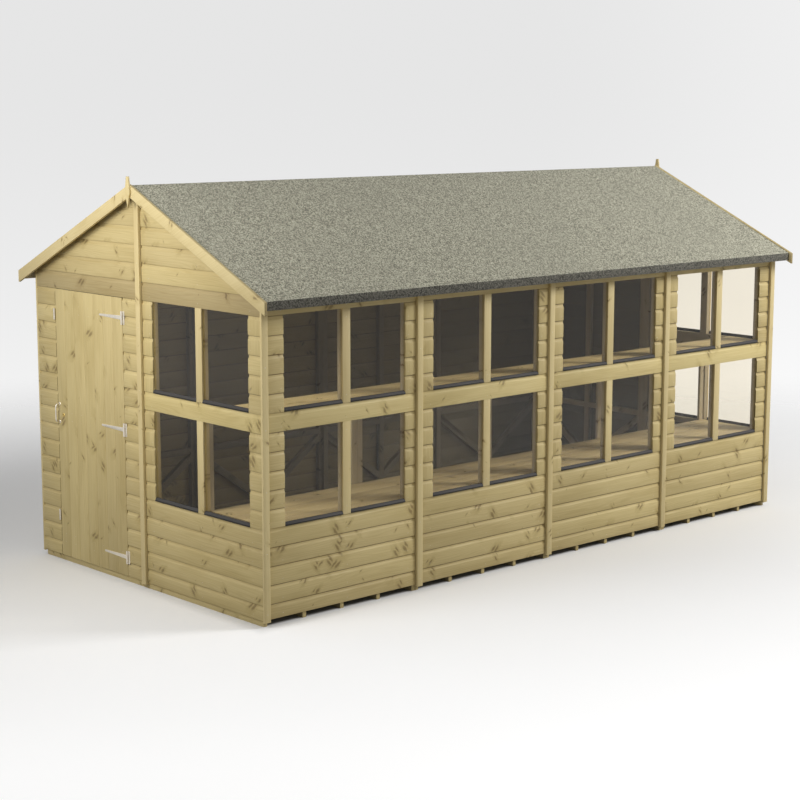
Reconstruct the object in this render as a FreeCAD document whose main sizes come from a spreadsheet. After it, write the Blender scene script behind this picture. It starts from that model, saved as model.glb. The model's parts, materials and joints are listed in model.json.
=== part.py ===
import FreeCAD, Part
import math
import os
import re
import Sketcher

V = FreeCAD.Vector

# Driving sizes: millimetres, degrees for the roof pitch, and plain counts.
SIZES = {
    # Wall panels and the timber they are framed with
    "panel_width": 1200,
    "side_panel_count": 4,
    "frame_depth": 38,
    "stud_width": 45,
    # Floor sections
    "joist_height": 45,
    "joist_width": 28,
    "joist_count": 5,
    "floor_board_thickness": 12,
    "floor_board_count": 16,
    # Shiplap boards
    "board_thickness": 12,
    "board_pitch": 114,
    "board_gap": 1,
    "scallop_height": 32,
    "scallop_depth": 8,
    "cladding_bottom": 40,
    "joint_setback": 26,
    "boards_below_sill": 4,
    "boards_per_window": 5,
    "header_height": 130,
    # Windows
    "sill_height": 589,
    "window_left": 125,
    "window_right": 113,
    "mullion_width": 62,
    "glass_thickness": 4,
    "glass_cover": 10,
    "glass_play": 0.5,
    "sill_strip_height": 24,
    "sill_strip_nose": 3,
    "sill_strip_edge": 7,
    # Strips over panel joints and corners
    "cover_width": 46,
    "cover_proud": 17,
    "cover_bottom": 28,
    # Roof
    "roof_pitch": 25,
    "roof_section_panels": 2,
    "roof_board_thickness": 12,
    "roof_board_count": 12,
    "eave_overhang": 97,
    "gable_overhang": 45,
    "eave_batten_width": 30,
    "rafter_width": 38,
    "rafter_depth": 60,
    "tie_height": 65,
    "felt_thickness": 3,
    "felt_fold": 52,
    "felt_lap": 75,
    "barge_thickness": 18,
    "barge_width": 70,
    "barge_rise": 8,
    "barge_reach": 127,
    "finial_height": 190,
    "finial_rise": 60,
    "finial_width": 50,
    "finial_shoulder": 96,
    "finial_top_width": 20,
    "finial_thickness": 12,
    # Door
    "door_left": 221,
    "door_width": 780,
    "door_gap": 3,
    "door_lap": 12,
    "door_stop_gap": 0.5,
    "door_board_count": 7,
    "door_board_chamfer": 2,
    "ledge_height": 95,
    "ledge_thickness": 25,
    "ledge_play": 8,
    "brace_width": 90,
    # Hinges
    "low_hinge": 164,
    "middle_hinge": 997,
    "high_hinge_drop": 129,
    "strap_length": 260,
    "strap_height": 28,
    "strap_tip": 13,
    "strap_thickness": 2.5,
    "plate_height": 86,
    "plate_width": 26,
    "knuckle_radius": 6,
    "knuckle_play": 0.3,
    "pin_radius": 3.5,
    "running_clearance": 0.05,
    # Handle
    "handle_inset": 18,
    "handle_bottom": 952,
    "handle_length": 120,
    "handle_reach": 35,
    "handle_bend": 20,
    "rod_radius": 5,
    "foot_radius": 11,
    "foot_thickness": 2.5,
    # Lock
    "lock_inset": 64,
    "lock_height": 1002,
    "flange_radius": 12.5,
    "barrel_radius": 11,
    "barrel_play": 0.3,
    "plug_radius": 6,
    "key_slot_width": 1.6,
    "cam_throw": 14,
    "cam_pin_radius": 3,
    "cam_slot_play": 0.6,
    "case_length": 80,
    "case_height": 60,
    "case_depth": 24,
    "case_wall": 2,
    "bolt_height": 22,
    "bolt_thickness": 7,
    "bolt_length": 70,
    "bolt_play": 0.5,
    # Turn buttons
    "high_button_drop": 172,
    "low_button": 313,
    "button_length": 76,
    "button_width": 16,
    "button_thickness": 5,
    "button_stand_off": 1,
    "pivot_radius": 2.5,
    # Shelf
    "shelf_height": 1280,
    "shelf_depth": 290,
    "shelf_board_count": 3,
    "shelf_thickness": 18,
    "bracket_thickness": 28,
    "bracket_depth": 50,
    # Bench
    "bench_height": 600,
    "bench_depth": 535,
    "bench_board_count": 5,
    "bench_thickness": 18,
    "leg_width": 45,
    "leg_thickness": 20,
    "leg_drop": 62,
}

# Heights and lines that follow from the sizes.
SLOPE = "tan(roof_pitch * 1 deg)"
LEAN = "cos(roof_pitch * 1 deg)"
HALF_LENGTH = "(side_panel_count * panel_width / 2)"
GABLE_FACE = f"({HALF_LENGTH} + frame_depth + board_thickness)"
FRAME_BACK = "(board_thickness + frame_depth)"
REBATE = "(board_thickness + glass_thickness + glass_play)"
FLOOR_TOP = "(joist_height + floor_board_thickness)"
STUD_FOOT = f"({FLOOR_TOP} + stud_width)"
LOWER_HEAD = "(sill_height + boards_per_window * board_pitch)"
UPPER_SILL = f"({LOWER_HEAD} + board_pitch)"
HEAD = f"({UPPER_SILL} + boards_per_window * board_pitch)"
FRAME_TOP = f"({HEAD} + stud_width)"
FIRST_JOINT = "(sill_height - boards_below_sill * board_pitch)"
WALL_TOP = f"({HEAD} + header_height)"
WINDOW_RIGHT = "(panel_width - window_right)"
WINDOW_MIDDLE = f"((window_left + {WINDOW_RIGHT}) / 2)"
MULLION_LEFT = f"({WINDOW_MIDDLE} - mullion_width / 2)"
MULLION_RIGHT = f"({WINDOW_MIDDLE} + mullion_width / 2)"
RIDGE = f"({WALL_TOP} + panel_width * {SLOPE})"
ROOF_SECTIONS = "(side_panel_count / roof_section_panels)"
FRAME = ("board_thickness", FRAME_BACK)
CLADDING = ("0", "board_thickness")

doc = FreeCAD.newDocument("PottingShed")
sheet = doc.addObject("Spreadsheet::Sheet", "Sizes")
for row, (alias, value) in enumerate(SIZES.items(), 1):
    sheet.set(f"A{row}", alias)
    sheet.set(f"B{row}", str(value))
    sheet.setAlias(f"B{row}", alias)
doc.recompute()

nodes = []


def cells(formula):
    """Point every size name in a formula at its cell in the sheet."""
    return re.sub(r"[a-z_]+", lambda word: "Sizes." + word[0] if word[0] in SIZES else word[0], formula)


def number(formula):
    """The present value of a formula."""
    value = sheet.evalExpression(cells(formula))
    return float(getattr(value, "Value", value))


def block(name, x, y, z):
    """A square-cut stick between a pair of formulas along each axis."""
    box = doc.addObject("Part::Box", name)
    for axis, side, (low, high) in zip("xyz", ("Length", "Width", "Height"), (x, y, z)):
        box.setExpression(side, cells(f"({high}) - ({low})"))
        box.setExpression(f".Placement.Base.{axis}", cells(low))
    return box


def new_body(name):
    """An empty body that may hold several separate solids."""
    body = doc.addObject("PartDesign::Body", name)
    body.AllowCompound = True
    return body


def sketch_across(body, axis, level):
    """An empty sketch square to an axis of the body, at a level along that axis."""
    role = {"x": "YZ_Plane", "y": "XZ_Plane", "z": "XY_Plane"}[axis]
    plane = [feature for feature in body.Origin.OriginFeatures if feature.Role == role][0]
    sketch = body.newObject("Sketcher::SketchObject", "Profile")
    sketch.AttachmentSupport = [(plane, "")]
    sketch.MapMode = "FlatFace"
    sign = "-" if axis == "y" else ""
    sketch.setExpression(".AttachmentOffset.Base.z", cells(f"{sign}({level})"))
    return sketch


def pin_point(sketch, curve, end, corner):
    """Hold one end of a curve at a pair of formulas."""
    for kind, along, formula in zip(("DistanceX", "DistanceY"), (-2, -1), corner):
        if formula == "0":
            sketch.addConstraint(Sketcher.Constraint("PointOnObject", curve, end, along))
        else:
            place = Sketcher.Constraint(kind, -1, 1, curve, end, number(formula))
            sketch.setExpression(f"Constraints[{sketch.addConstraint(place)}]", cells(formula))


def draw_line(sketch, corners, closed=True):
    """Draw a line through the corners; a third value starts an arc of that radius, turning left."""
    spots = [V(number(corner[0]), number(corner[1]), 0) for corner in corners]
    count = len(corners) if closed else len(corners) - 1
    for index in range(count):
        here = spots[index]
        there = spots[(index + 1) % len(spots)]
        if len(corners[index]) == 2:
            sketch.addGeometry(Part.LineSegment(here, there))
            continue
        radius = number(corners[index][2])
        chord = there - here
        reach = math.sqrt(radius ** 2 - (chord.Length / 2) ** 2) / chord.Length
        centre = (here + there) * 0.5 + V(-chord.y, chord.x, 0) * reach
        angles = [math.atan2(spot.y - centre.y, spot.x - centre.x) for spot in (here, there)]
        if angles[1] < angles[0]:
            angles[1] += 2 * math.pi
        circle = Part.Circle(centre, V(0, 0, 1), radius)
        curve = sketch.addGeometry(Part.ArcOfCircle(circle, angles[0], angles[1]))
        size = sketch.addConstraint(Sketcher.Constraint("Radius", curve, radius))
        sketch.setExpression(f"Constraints[{size}]", cells(corners[index][2]))
    for index in range(count if closed else count - 1):
        sketch.addConstraint(Sketcher.Constraint("Coincident", index, 2, (index + 1) % count, 1))
    for index in range(count):
        pin_point(sketch, index, 1, corners[index])
    if not closed:
        pin_point(sketch, count - 1, 2, corners[-1])


def draw_circle(sketch, centre, radius):
    """Draw a circle with its centre at a pair of formulas."""
    spot = V(number(centre[0]), number(centre[1]), 0)
    curve = sketch.addGeometry(Part.Circle(spot, V(0, 0, 1), number(radius)))
    size = sketch.addConstraint(Sketcher.Constraint("Radius", curve, number(radius)))
    sketch.setExpression(f"Constraints[{size}]", cells(radius))
    pin_point(sketch, curve, 3, centre)


def extrude(body, kind, axis, shape, start, end):
    """Pad or pocket a shape along an axis of the body; a shape is a list of corners or (centre, radius)."""
    sketch = sketch_across(body, axis, start)
    if isinstance(shape, list):
        draw_line(sketch, shape)
    else:
        draw_circle(sketch, *shape)
    feature = body.newObject(f"PartDesign::{kind}", kind)
    feature.Profile = sketch
    feature.Reversed = (axis == "y") == (kind == "Pad")
    feature.setExpression("Length", cells(f"({end}) - ({start})"))
    doc.recompute()
    return feature


def prism(name, axis, corners, start, end):
    """A body of one straight extrusion."""
    body = new_body(name)
    extrude(body, "Pad", axis, corners, start, end)
    return body


def repeat(body, pad, *steps):
    """Repeat a pad along the axes of its sketch; each step is an axis, a spacing and a count."""
    pattern = body.newObject("PartDesign::LinearPattern", "Rows")
    pattern.Originals = [pad]
    for suffix, (axis, spacing, count) in zip(("", "2"), steps):
        setattr(pattern, "Direction" + suffix, (pad.Profile[0], [axis]))
        setattr(pattern, "Mode" + suffix, "Spacing")
        setattr(pattern, "Spacings" + suffix, [-1])
        pattern.setExpression("Offset" + suffix, cells(spacing))
        pattern.setExpression("Occurrences" + suffix, cells(count))
    body.Tip = pattern
    doc.recompute()


def rectangle(x, y):
    """The four corners between two pairs of formulas."""
    return [(x[0], y[0]), (x[1], y[0]), (x[1], y[1]), (x[0], y[1])]


def many_sided(centre, radius, sides=12):
    """The corners of an even-sided figure about a centre, for small stock that nothing turns on."""
    x, y = centre
    turns = [f"{(index + 0.5) * 360 / sides} deg" for index in range(sides)]
    return [(f"{x} + {radius} * cos({turn})", f"{y} + {radius} * sin({turn})") for turn in turns]


def placed(pieces, turn=0, at=("0", "0", "0"), label="Placed"):
    """The pieces together, turned about the upright and set down at a place."""
    group = doc.addObject("Part::Compound", label)
    group.Links = pieces
    group.Placement.Rotation = FreeCAD.Rotation(V(0, 0, 1), turn)
    for axis, formula in zip("xyz", at):
        group.setExpression(f".Placement.Base.{axis}", cells(formula))
    return group


def node(label, pieces, turn=0, at=("0", "0", "0")):
    """A named sub-part of the shed."""
    group = placed(pieces, turn, at, label)
    group.Label = label
    nodes.append(group)


# Where each wall panel stands. Seen from outside, a panel runs left to right along x, with y inward.
FRONT_LEFT = (0, ("-panel_width", f"-{GABLE_FACE}", "0"))
FRONT_RIGHT = (0, ("0", f"-{GABLE_FACE}", "0"))
REAR_LEFT = (180, ("panel_width", GABLE_FACE, "0"))
REAR_RIGHT = (180, ("0", GABLE_FACE, "0"))
SIDE_COUNT = int(SIZES["side_panel_count"])
WINDOW_SIDE = [(90, ("panel_width", f"{k} * panel_width - {HALF_LENGTH}", "0")) for k in range(SIDE_COUNT)]
PLAIN_SIDE = [(270, ("-panel_width", f"{HALF_LENGTH} - {k} * panel_width", "0")) for k in range(SIDE_COUNT)]


# Shiplap boards
def boards(name, start, end, bottom, height="board_pitch - board_gap", rows=None, blocks=None):
    """Boards with a scalloped top edge between two places along a panel."""
    body = new_body(name)
    top = f"{bottom} + {height}"
    corners = [
        ("0", bottom),
        ("0", f"{top} - scallop_height"),
        ("scallop_depth * 0.75", f"{top} - scallop_height / 2"),
        ("scallop_depth", top),
        ("board_thickness", top),
        ("board_thickness", bottom),
    ]
    pad = extrude(body, "Pad", "x", corners, start, end)
    if rows:
        steps = [("V_Axis", "board_pitch", rows)]
        if blocks:
            steps.append(("V_Axis", f"{UPPER_SILL} - sill_height", blocks))
        repeat(body, pad, *steps)
    return body


def low_boards(start, end, rows):
    """The cut board at the foot of a wall and the whole boards above it."""
    foot = boards("FootBoard", start, end, "cladding_bottom", f"{FIRST_JOINT} - board_gap - cladding_bottom")
    return [foot, boards("LowBoards", start, end, FIRST_JOINT, rows=rows)]


def window_boards(start, end):
    """Boards of a window panel below, beside and between its windows."""
    left = boards("LeftBoards", start, "window_left", "sill_height", rows="boards_per_window", blocks="2")
    right = boards("RightBoards", WINDOW_RIGHT, end, "sill_height", rows="boards_per_window", blocks="2")
    middle = boards("MiddleBoard", start, end, LOWER_HEAD)
    return low_boards(start, end, "boards_below_sill") + [left, right, middle]


def plain_boards(start, end):
    """Boards of a wall without openings up to the head."""
    return low_boards(start, end, "boards_below_sill + 2 * boards_per_window + 1")


def header_board(start, end):
    """The flat board under the eave of a long side, its top cut to the roof slope."""
    slant = f"{WALL_TOP} + board_thickness * {SLOPE}"
    corners = [("0", HEAD), ("board_thickness", HEAD), ("board_thickness", slant), ("0", WALL_TOP)]
    return prism("HeaderBoard", "x", corners, start, end)


def gable_boards(start, end, rises_left):
    """Boards of half a gable above the head, cut to the roof slope."""
    rows = f"ceil(({RIDGE} - joint_setback * {SLOPE} - {HEAD}) / board_pitch)"
    body = boards("GableBoards", start, end, HEAD, rows=rows)
    ends = (RIDGE, WALL_TOP) if rises_left else (WALL_TOP, RIDGE)
    above = f"{RIDGE} + board_pitch"
    corners = [("0", ends[0]), ("panel_width", ends[1]), ("panel_width", above), ("0", above)]
    extrude(body, "Pocket", "y", corners, "-board_thickness", "2 * board_thickness")
    return body


# Wall frames
def window_frame():
    """Frame of a window panel, rebated for the glass."""
    rebated_head = [
        (REBATE, HEAD),
        (FRAME_BACK, HEAD),
        (FRAME_BACK, FRAME_TOP),
        ("board_thickness", FRAME_TOP),
        ("board_thickness", f"{HEAD} + glass_cover"),
        (REBATE, f"{HEAD} + glass_cover"),
    ]
    middle = [
        (REBATE, LOWER_HEAD),
        (FRAME_BACK, LOWER_HEAD),
        (FRAME_BACK, UPPER_SILL),
        (REBATE, UPPER_SILL),
        (REBATE, f"{UPPER_SILL} - glass_cover"),
        ("board_thickness", f"{UPPER_SILL} - glass_cover"),
        ("board_thickness", f"{LOWER_HEAD} + glass_cover"),
        (REBATE, f"{LOWER_HEAD} + glass_cover"),
    ]
    sill = [
        ("board_thickness", "sill_height - stud_width"),
        (FRAME_BACK, "sill_height - stud_width"),
        (FRAME_BACK, "sill_height"),
        (REBATE, "sill_height"),
        (REBATE, "sill_height - glass_cover"),
        ("board_thickness", "sill_height - glass_cover"),
    ]
    pieces = [
        block("BottomRail", ("0", "panel_width"), FRAME, (FLOOR_TOP, STUD_FOOT)),
        block("LeftStud", ("0", "stud_width"), FRAME, (STUD_FOOT, HEAD)),
        block("RightStud", ("panel_width - stud_width", "panel_width"), FRAME, (STUD_FOOT, HEAD)),
        prism("HeadRail", "x", rebated_head, "0", "panel_width"),
        prism("MiddleRail", "x", middle, "window_left", WINDOW_RIGHT),
        prism("SillRail", "x", sill, "stud_width", "panel_width - stud_width"),
    ]
    for edge, way in (("window_left", "-"), (WINDOW_RIGHT, "+")):
        jamb = [
            (f"{edge} {way} stud_width", "board_thickness"),
            (f"{edge} {way} glass_cover", "board_thickness"),
            (f"{edge} {way} glass_cover", REBATE),
            (edge, REBATE),
            (edge, FRAME_BACK),
            (f"{edge} {way} stud_width", FRAME_BACK),
        ]
        pieces.append(prism("Jamb", "z", jamb, "sill_height", HEAD))
    mullion = [
        (MULLION_LEFT, REBATE),
        (f"{MULLION_LEFT} + glass_cover", REBATE),
        (f"{MULLION_LEFT} + glass_cover", "board_thickness"),
        (f"{MULLION_RIGHT} - glass_cover", "board_thickness"),
        (f"{MULLION_RIGHT} - glass_cover", REBATE),
        (MULLION_RIGHT, REBATE),
        (MULLION_RIGHT, FRAME_BACK),
        (MULLION_LEFT, FRAME_BACK),
    ]
    pieces.append(prism("LowerMullion", "z", mullion, "sill_height", LOWER_HEAD))
    pieces.append(prism("UpperMullion", "z", mullion, UPPER_SILL, HEAD))
    low_stud = (f"{WINDOW_MIDDLE} - stud_width / 2", f"{WINDOW_MIDDLE} + stud_width / 2")
    pieces.append(block("LowStud", low_stud, FRAME, (STUD_FOOT, "sill_height - stud_width")))
    return pieces


def plain_frame():
    """Frame of a plain panel with a middle rail and two braces."""
    left_of_middle = "(panel_width - stud_width) / 2"
    right_of_middle = "(panel_width + stud_width) / 2"
    right_stud = "panel_width - stud_width"
    rail = ("sill_height - stud_width", "sill_height")
    pieces = [
        block("BottomRail", ("0", "panel_width"), FRAME, (FLOOR_TOP, STUD_FOOT)),
        block("LeftStud", ("0", "stud_width"), FRAME, (STUD_FOOT, HEAD)),
        block("MiddleStud", (left_of_middle, right_of_middle), FRAME, (STUD_FOOT, HEAD)),
        block("RightStud", (right_stud, "panel_width"), FRAME, (STUD_FOOT, HEAD)),
        block("LeftRail", ("stud_width", left_of_middle), FRAME, rail),
        block("RightRail", (right_of_middle, right_stud), FRAME, rail),
        block("HeadRail", ("0", "panel_width"), FRAME, (HEAD, FRAME_TOP)),
    ]
    for high, low in (("stud_width", left_of_middle), (right_stud, right_of_middle)):
        brace = [
            (high, "sill_height - stud_width"),
            (high, "sill_height - 2.3 * stud_width"),
            (low, STUD_FOOT),
            (low, f"{STUD_FOOT} + 1.3 * stud_width"),
        ]
        pieces.append(prism("Brace", "y", brace, *FRAME))
    return pieces


def door_frame():
    """Frame of the door panel, open from the floor to the door head."""
    left_post = "door_left + door_lap"
    right_post = "door_left + door_width - door_lap"
    top = f"{HEAD} - door_lap"
    edge = "panel_width - stud_width"
    return [
        block("LeftRail", ("0", left_post), FRAME, (FLOOR_TOP, STUD_FOOT)),
        block("RightRail", (right_post, "panel_width"), FRAME, (FLOOR_TOP, STUD_FOOT)),
        block("LeftStud", ("0", "stud_width"), FRAME, (STUD_FOOT, top)),
        block("LeftPost", (f"{left_post} - stud_width", left_post), FRAME, (STUD_FOOT, top)),
        block("RightPost", (right_post, f"{right_post} + stud_width"), FRAME, (STUD_FOOT, top)),
        block("RightStud", (edge, "panel_width"), FRAME, (STUD_FOOT, top)),
        block("HeadRail", ("0", "panel_width"), FRAME, (top, FRAME_TOP)),
    ]


def wall_plate():
    """The plate on top of a long side, bevelled to the roof slope."""
    corners = [
        ("board_thickness", FRAME_TOP),
        (FRAME_BACK, FRAME_TOP),
        (FRAME_BACK, f"{WALL_TOP} + {FRAME_BACK} * {SLOPE}"),
        ("board_thickness", f"{WALL_TOP} + board_thickness * {SLOPE}"),
    ]
    return prism("WallPlate", "x", corners, "0", "panel_width")


def gable_frame(rises_left):
    """Sloping rail and short studs of half a gable above the head rail."""
    drop = f"stud_width / {LEAN}"

    def under(distance):
        return f"{WALL_TOP} + (panel_width - ({distance})) * {SLOPE} - {drop}"

    def side(distance):
        return distance if rises_left else f"panel_width - ({distance})"

    rail = [
        (side("0"), RIDGE),
        (side("panel_width"), WALL_TOP),
        (side("panel_width"), f"{WALL_TOP} - {drop}"),
        (side("0"), f"{RIDGE} - {drop}"),
    ]
    pieces = [prism("SlopingRail", "y", rail, *FRAME)]
    for near in ("0", "(panel_width - stud_width) / 2", "panel_width - stud_width"):
        far = f"{near} + stud_width"
        ends = (side(near), side(far)) if rises_left else (side(far), side(near))
        pieces.append(block("GableStud", ends, FRAME, (FRAME_TOP, under(far))))
    return pieces


# Glazing
def glazing():
    """Panes, sill strips and mullion covers of one window panel."""
    panes, strips, covers = [], [], []
    depth = ("board_thickness + glass_play / 2", "board_thickness + glass_play / 2 + glass_thickness")
    for foot, head in (("sill_height", LOWER_HEAD), (UPPER_SILL, HEAD)):
        height = (f"{foot} - glass_cover + glass_play", f"{head} + glass_cover - glass_play")
        rest = f"{foot} - board_gap"
        strip = [
            ("-sill_strip_nose", rest),
            ("board_thickness", rest),
            ("board_thickness", f"{rest} + sill_strip_height"),
            ("board_thickness / 3", f"{rest} + sill_strip_height - sill_strip_edge"),
            ("-sill_strip_nose", f"{rest} + sill_strip_edge"),
        ]
        for left, right in (("window_left", MULLION_LEFT), (MULLION_RIGHT, WINDOW_RIGHT)):
            width = (f"{left} - glass_cover + glass_play", f"{right} + glass_cover - glass_play")
            panes.append(block("Pane", width, depth, height))
            strips.append(prism("Strip", "x", strip, f"{left} + glass_play", f"{right} - glass_play"))
        covers.append(block("Cover", (MULLION_LEFT, MULLION_RIGHT), CLADDING, (rest, head)))
    return panes, strips, covers


# Wall panels. Boards stop short of a joint between panels and run on to a corner.
joint = ("joint_setback", "panel_width - joint_setback")
corner_left = ("0", joint[1])
corner_right = (joint[0], "panel_width")
window_cladding = {ends: window_boards(*ends) for ends in (corner_left, joint, corner_right)}
plain_cladding = {ends: plain_boards(*ends) for ends in (corner_left, joint, corner_right)}
headers = {ends: header_board(*ends) for ends in (corner_left, joint, corner_right)}
gable_cladding = {True: gable_boards(*corner_right, True), False: gable_boards(*corner_left, False)}
gable_timber = {rises_left: gable_frame(rises_left) for rises_left in (True, False)}
window_timber = window_frame()
plain_timber = plain_frame()
plate = wall_plate()

door_side_boards = plain_boards("0", "door_left - door_gap")
door_side_boards += plain_boards("door_left + door_width + door_gap", joint[1])

node("front_door_panel_frame", door_frame() + gable_timber[False], *FRONT_LEFT)
node("front_door_panel_boards", door_side_boards + [gable_cladding[False]], *FRONT_LEFT)
node("front_window_panel_frame", window_timber + gable_timber[True], *FRONT_RIGHT)
node("front_window_panel_boards", window_cladding[corner_right] + [gable_cladding[True]], *FRONT_RIGHT)
node("rear_window_panel_frame", window_timber + gable_timber[False], *REAR_LEFT)
node("rear_window_panel_boards", window_cladding[corner_left] + [gable_cladding[False]], *REAR_LEFT)
node("rear_plain_panel_frame", plain_timber + gable_timber[True], *REAR_RIGHT)
node("rear_plain_panel_boards", plain_cladding[corner_right] + [gable_cladding[True]], *REAR_RIGHT)
for k in range(SIDE_COUNT):
    ends = corner_left if k == 0 else corner_right if k == SIDE_COUNT - 1 else joint
    node(f"window_side_frame_{k + 1}", window_timber + [plate], *WINDOW_SIDE[k])
    node(f"window_side_boards_{k + 1}", window_cladding[ends] + [headers[ends]], *WINDOW_SIDE[k])
    node(f"plain_side_frame_{k + 1}", plain_timber + [plate], *PLAIN_SIDE[k])
    node(f"plain_side_boards_{k + 1}", plain_cladding[ends] + [headers[ends]], *PLAIN_SIDE[k])

window_places = [FRONT_RIGHT, REAR_LEFT] + WINDOW_SIDE
for label, pieces in zip(("window_panes", "window_sills", "mullion_covers"), glazing()):
    node(label, [placed(pieces, *place) for place in window_places])


# Strips over the joints and corners
half_cover = ("-cover_width / 2", "cover_width / 2")
strip_depth = ("-cover_proud", "board_thickness")
strip_top = f"{WALL_TOP} - cover_proud * {SLOPE}"
gable_top = f"{WALL_TOP} + (panel_width - cover_width / 2) * {SLOPE}"
side_strip = block("SideStrip", half_cover, strip_depth, ("cover_bottom", strip_top))
gable_strip = block("GableStrip", half_cover, strip_depth, ("cover_bottom", gable_top))
node("gable_cover_strips", [placed([gable_strip], *place) for place in (FRONT_RIGHT, REAR_RIGHT)])
node("side_cover_strips", [placed([side_strip], *place) for place in WINDOW_SIDE[1:] + PLAIN_SIDE[1:]])
corner_height = ("cover_bottom", strip_top)
first_corner = (f"-{FRAME_BACK}", f"cover_width - {FRAME_BACK}")
last_corner = (f"2 * {HALF_LENGTH} + {FRAME_BACK} - cover_width", f"2 * {HALF_LENGTH} + {FRAME_BACK}")
corner_depth = ("-cover_proud", "0")
corners = [block("Corner", width, corner_depth, corner_height) for width in (first_corner, last_corner)]
node("corner_strips", [placed(corners, *place) for place in (WINDOW_SIDE[0], PLAIN_SIDE[0])])


# Floor sections
floor_half = f"({HALF_LENGTH} + frame_depth)"
section = f"(2 * {floor_half} / side_panel_count)"
side_half = "(panel_width - board_thickness)"
first = f"board_gap / 2 - {floor_half}"

joists = new_body("Joists")
ends = rectangle((first, f"{first} + joist_width"), ("0", "joist_height"))
pad = extrude(joists, "Pad", "x", ends, f"-{side_half}", side_half)
joist_step = f"({section} - board_gap - joist_width) / (joist_count - 1)"
repeat(joists, pad, ("H_Axis", joist_step, "joist_count"), ("H_Axis", section, "side_panel_count"))
node("floor_joists", [joists])

deck = new_body("Deck")
board_step = f"(2 * {side_half} / floor_board_count)"
left = f"board_gap / 2 - {side_half}"
plan = rectangle((left, f"{left} + {board_step} - board_gap"), (first, f"{first} + {section} - board_gap"))
pad = extrude(deck, "Pad", "z", plan, "joist_height", FLOOR_TOP)
repeat(deck, pad, ("H_Axis", board_step, "floor_board_count"), ("V_Axis", section, "side_panel_count"))
node("floor_boards", [deck])


# Roof
EAVE = "(panel_width + eave_overhang)"
ROOF_END = f"({GABLE_FACE} + gable_overhang)"


def under_roof(distance):
    """Height of the underside of the roof boards at a distance from the ridge line."""
    return f"{WALL_TOP} + (panel_width - ({distance})) * {SLOPE}"


slope_length = f"({EAVE} / {LEAN})"
roof_boards = new_body("RoofBoards")
roof_step = f"({slope_length} / roof_board_count)"
roof_section = f"(2 * {ROOF_END} / {ROOF_SECTIONS})"
near_end = f"board_gap / 2 - {ROOF_END}"
plan = rectangle(("board_gap", roof_step), (near_end, f"{near_end} + {roof_section} - board_gap"))
pad = extrude(roof_boards, "Pad", "z", plan, "0", "roof_board_thickness")
across = ("H_Axis", roof_step, "roof_board_count")
repeat(roof_boards, pad, across, ("V_Axis", roof_section, ROOF_SECTIONS))
roof_boards.Placement.Rotation = FreeCAD.Rotation(V(0, 1, 0), 1)
roof_boards.setExpression(".Placement.Rotation.Angle", cells("roof_pitch"))
roof_boards.setExpression(".Placement.Base.z", cells(RIDGE))
node("roof_boards_right", [roof_boards])
node("roof_boards_left", [roof_boards], 180)

rafter = prism("Rafter", "y", [
    ("0", RIDGE),
    (f"panel_width - {FRAME_BACK}", under_roof(f"panel_width - {FRAME_BACK}")),
    (f"panel_width - {FRAME_BACK}", f"{under_roof(f'panel_width - {FRAME_BACK}')} - rafter_depth / {LEAN}"),
    ("0", f"{RIDGE} - rafter_depth / {LEAN}"),
], "-rafter_width / 2", "rafter_width / 2")
inside = f"(panel_width - {FRAME_BACK})"
tie_depth = ("rafter_width / 2", "rafter_width * 1.5")
tie_top = f"{WALL_TOP} + {FRAME_BACK} * {SLOPE} / 2"
tie = block("Tie", (f"-{inside}", inside), tie_depth, (f"{tie_top} - tie_height", tie_top))
trusses = []
for k in range(1, SIDE_COUNT):
    spot = ("0", f"{k} * panel_width - {HALF_LENGTH}", "0")
    trusses += [placed([rafter, tie], 0, spot), placed([rafter], 180, spot)]
node("roof_trusses", trusses)

eave_tip = f"({EAVE} + roof_board_thickness * sin(roof_pitch * 1 deg))"
eave_foot = f"({under_roof(EAVE)} - felt_fold + roof_board_thickness * {LEAN})"
batten_back = f"{EAVE} - eave_batten_width"
eave_batten = prism("EaveBatten", "y", [
    (batten_back, eave_foot),
    (eave_tip, eave_foot),
    (eave_tip, under_roof(EAVE)),
    (EAVE, under_roof(EAVE)),
    (batten_back, under_roof(batten_back)),
], f"-{ROOF_END}", ROOF_END)
node("eave_battens", [eave_batten, placed([eave_batten], 180)])

deck_top = f"({RIDGE} + roof_board_thickness / {LEAN})"
felt_rise = f"felt_thickness / {LEAN}"
felt_edge = f"({eave_tip} + felt_thickness)"
felt_fall = [
    (eave_tip, f"{deck_top} - {eave_tip} * {SLOPE}"),
    (eave_tip, eave_foot),
    (felt_edge, eave_foot),
    (felt_edge, f"{deck_top} + {felt_rise} - {felt_edge} * {SLOPE}"),
]
under_felt = prism("UnderFelt", "y", [
    ("0", deck_top),
    *felt_fall,
    ("0", f"{deck_top} + {felt_rise}"),
], f"-{ROOF_END}", ROOF_END)
over_felt = prism("OverFelt", "y", [
    ("0", deck_top),
    *felt_fall,
    ("0", f"{deck_top} + 2 * {felt_rise}"),
    ("-felt_lap", f"{deck_top} + 2 * {felt_rise} - felt_lap * {SLOPE}"),
    ("-felt_lap", f"{deck_top} + {felt_rise} - felt_lap * {SLOPE}"),
    ("0", f"{deck_top} + {felt_rise}"),
], f"-{ROOF_END}", ROOF_END)
node("roofing_felt_right", [over_felt])
node("roofing_felt_left", [under_felt], 180)

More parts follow.
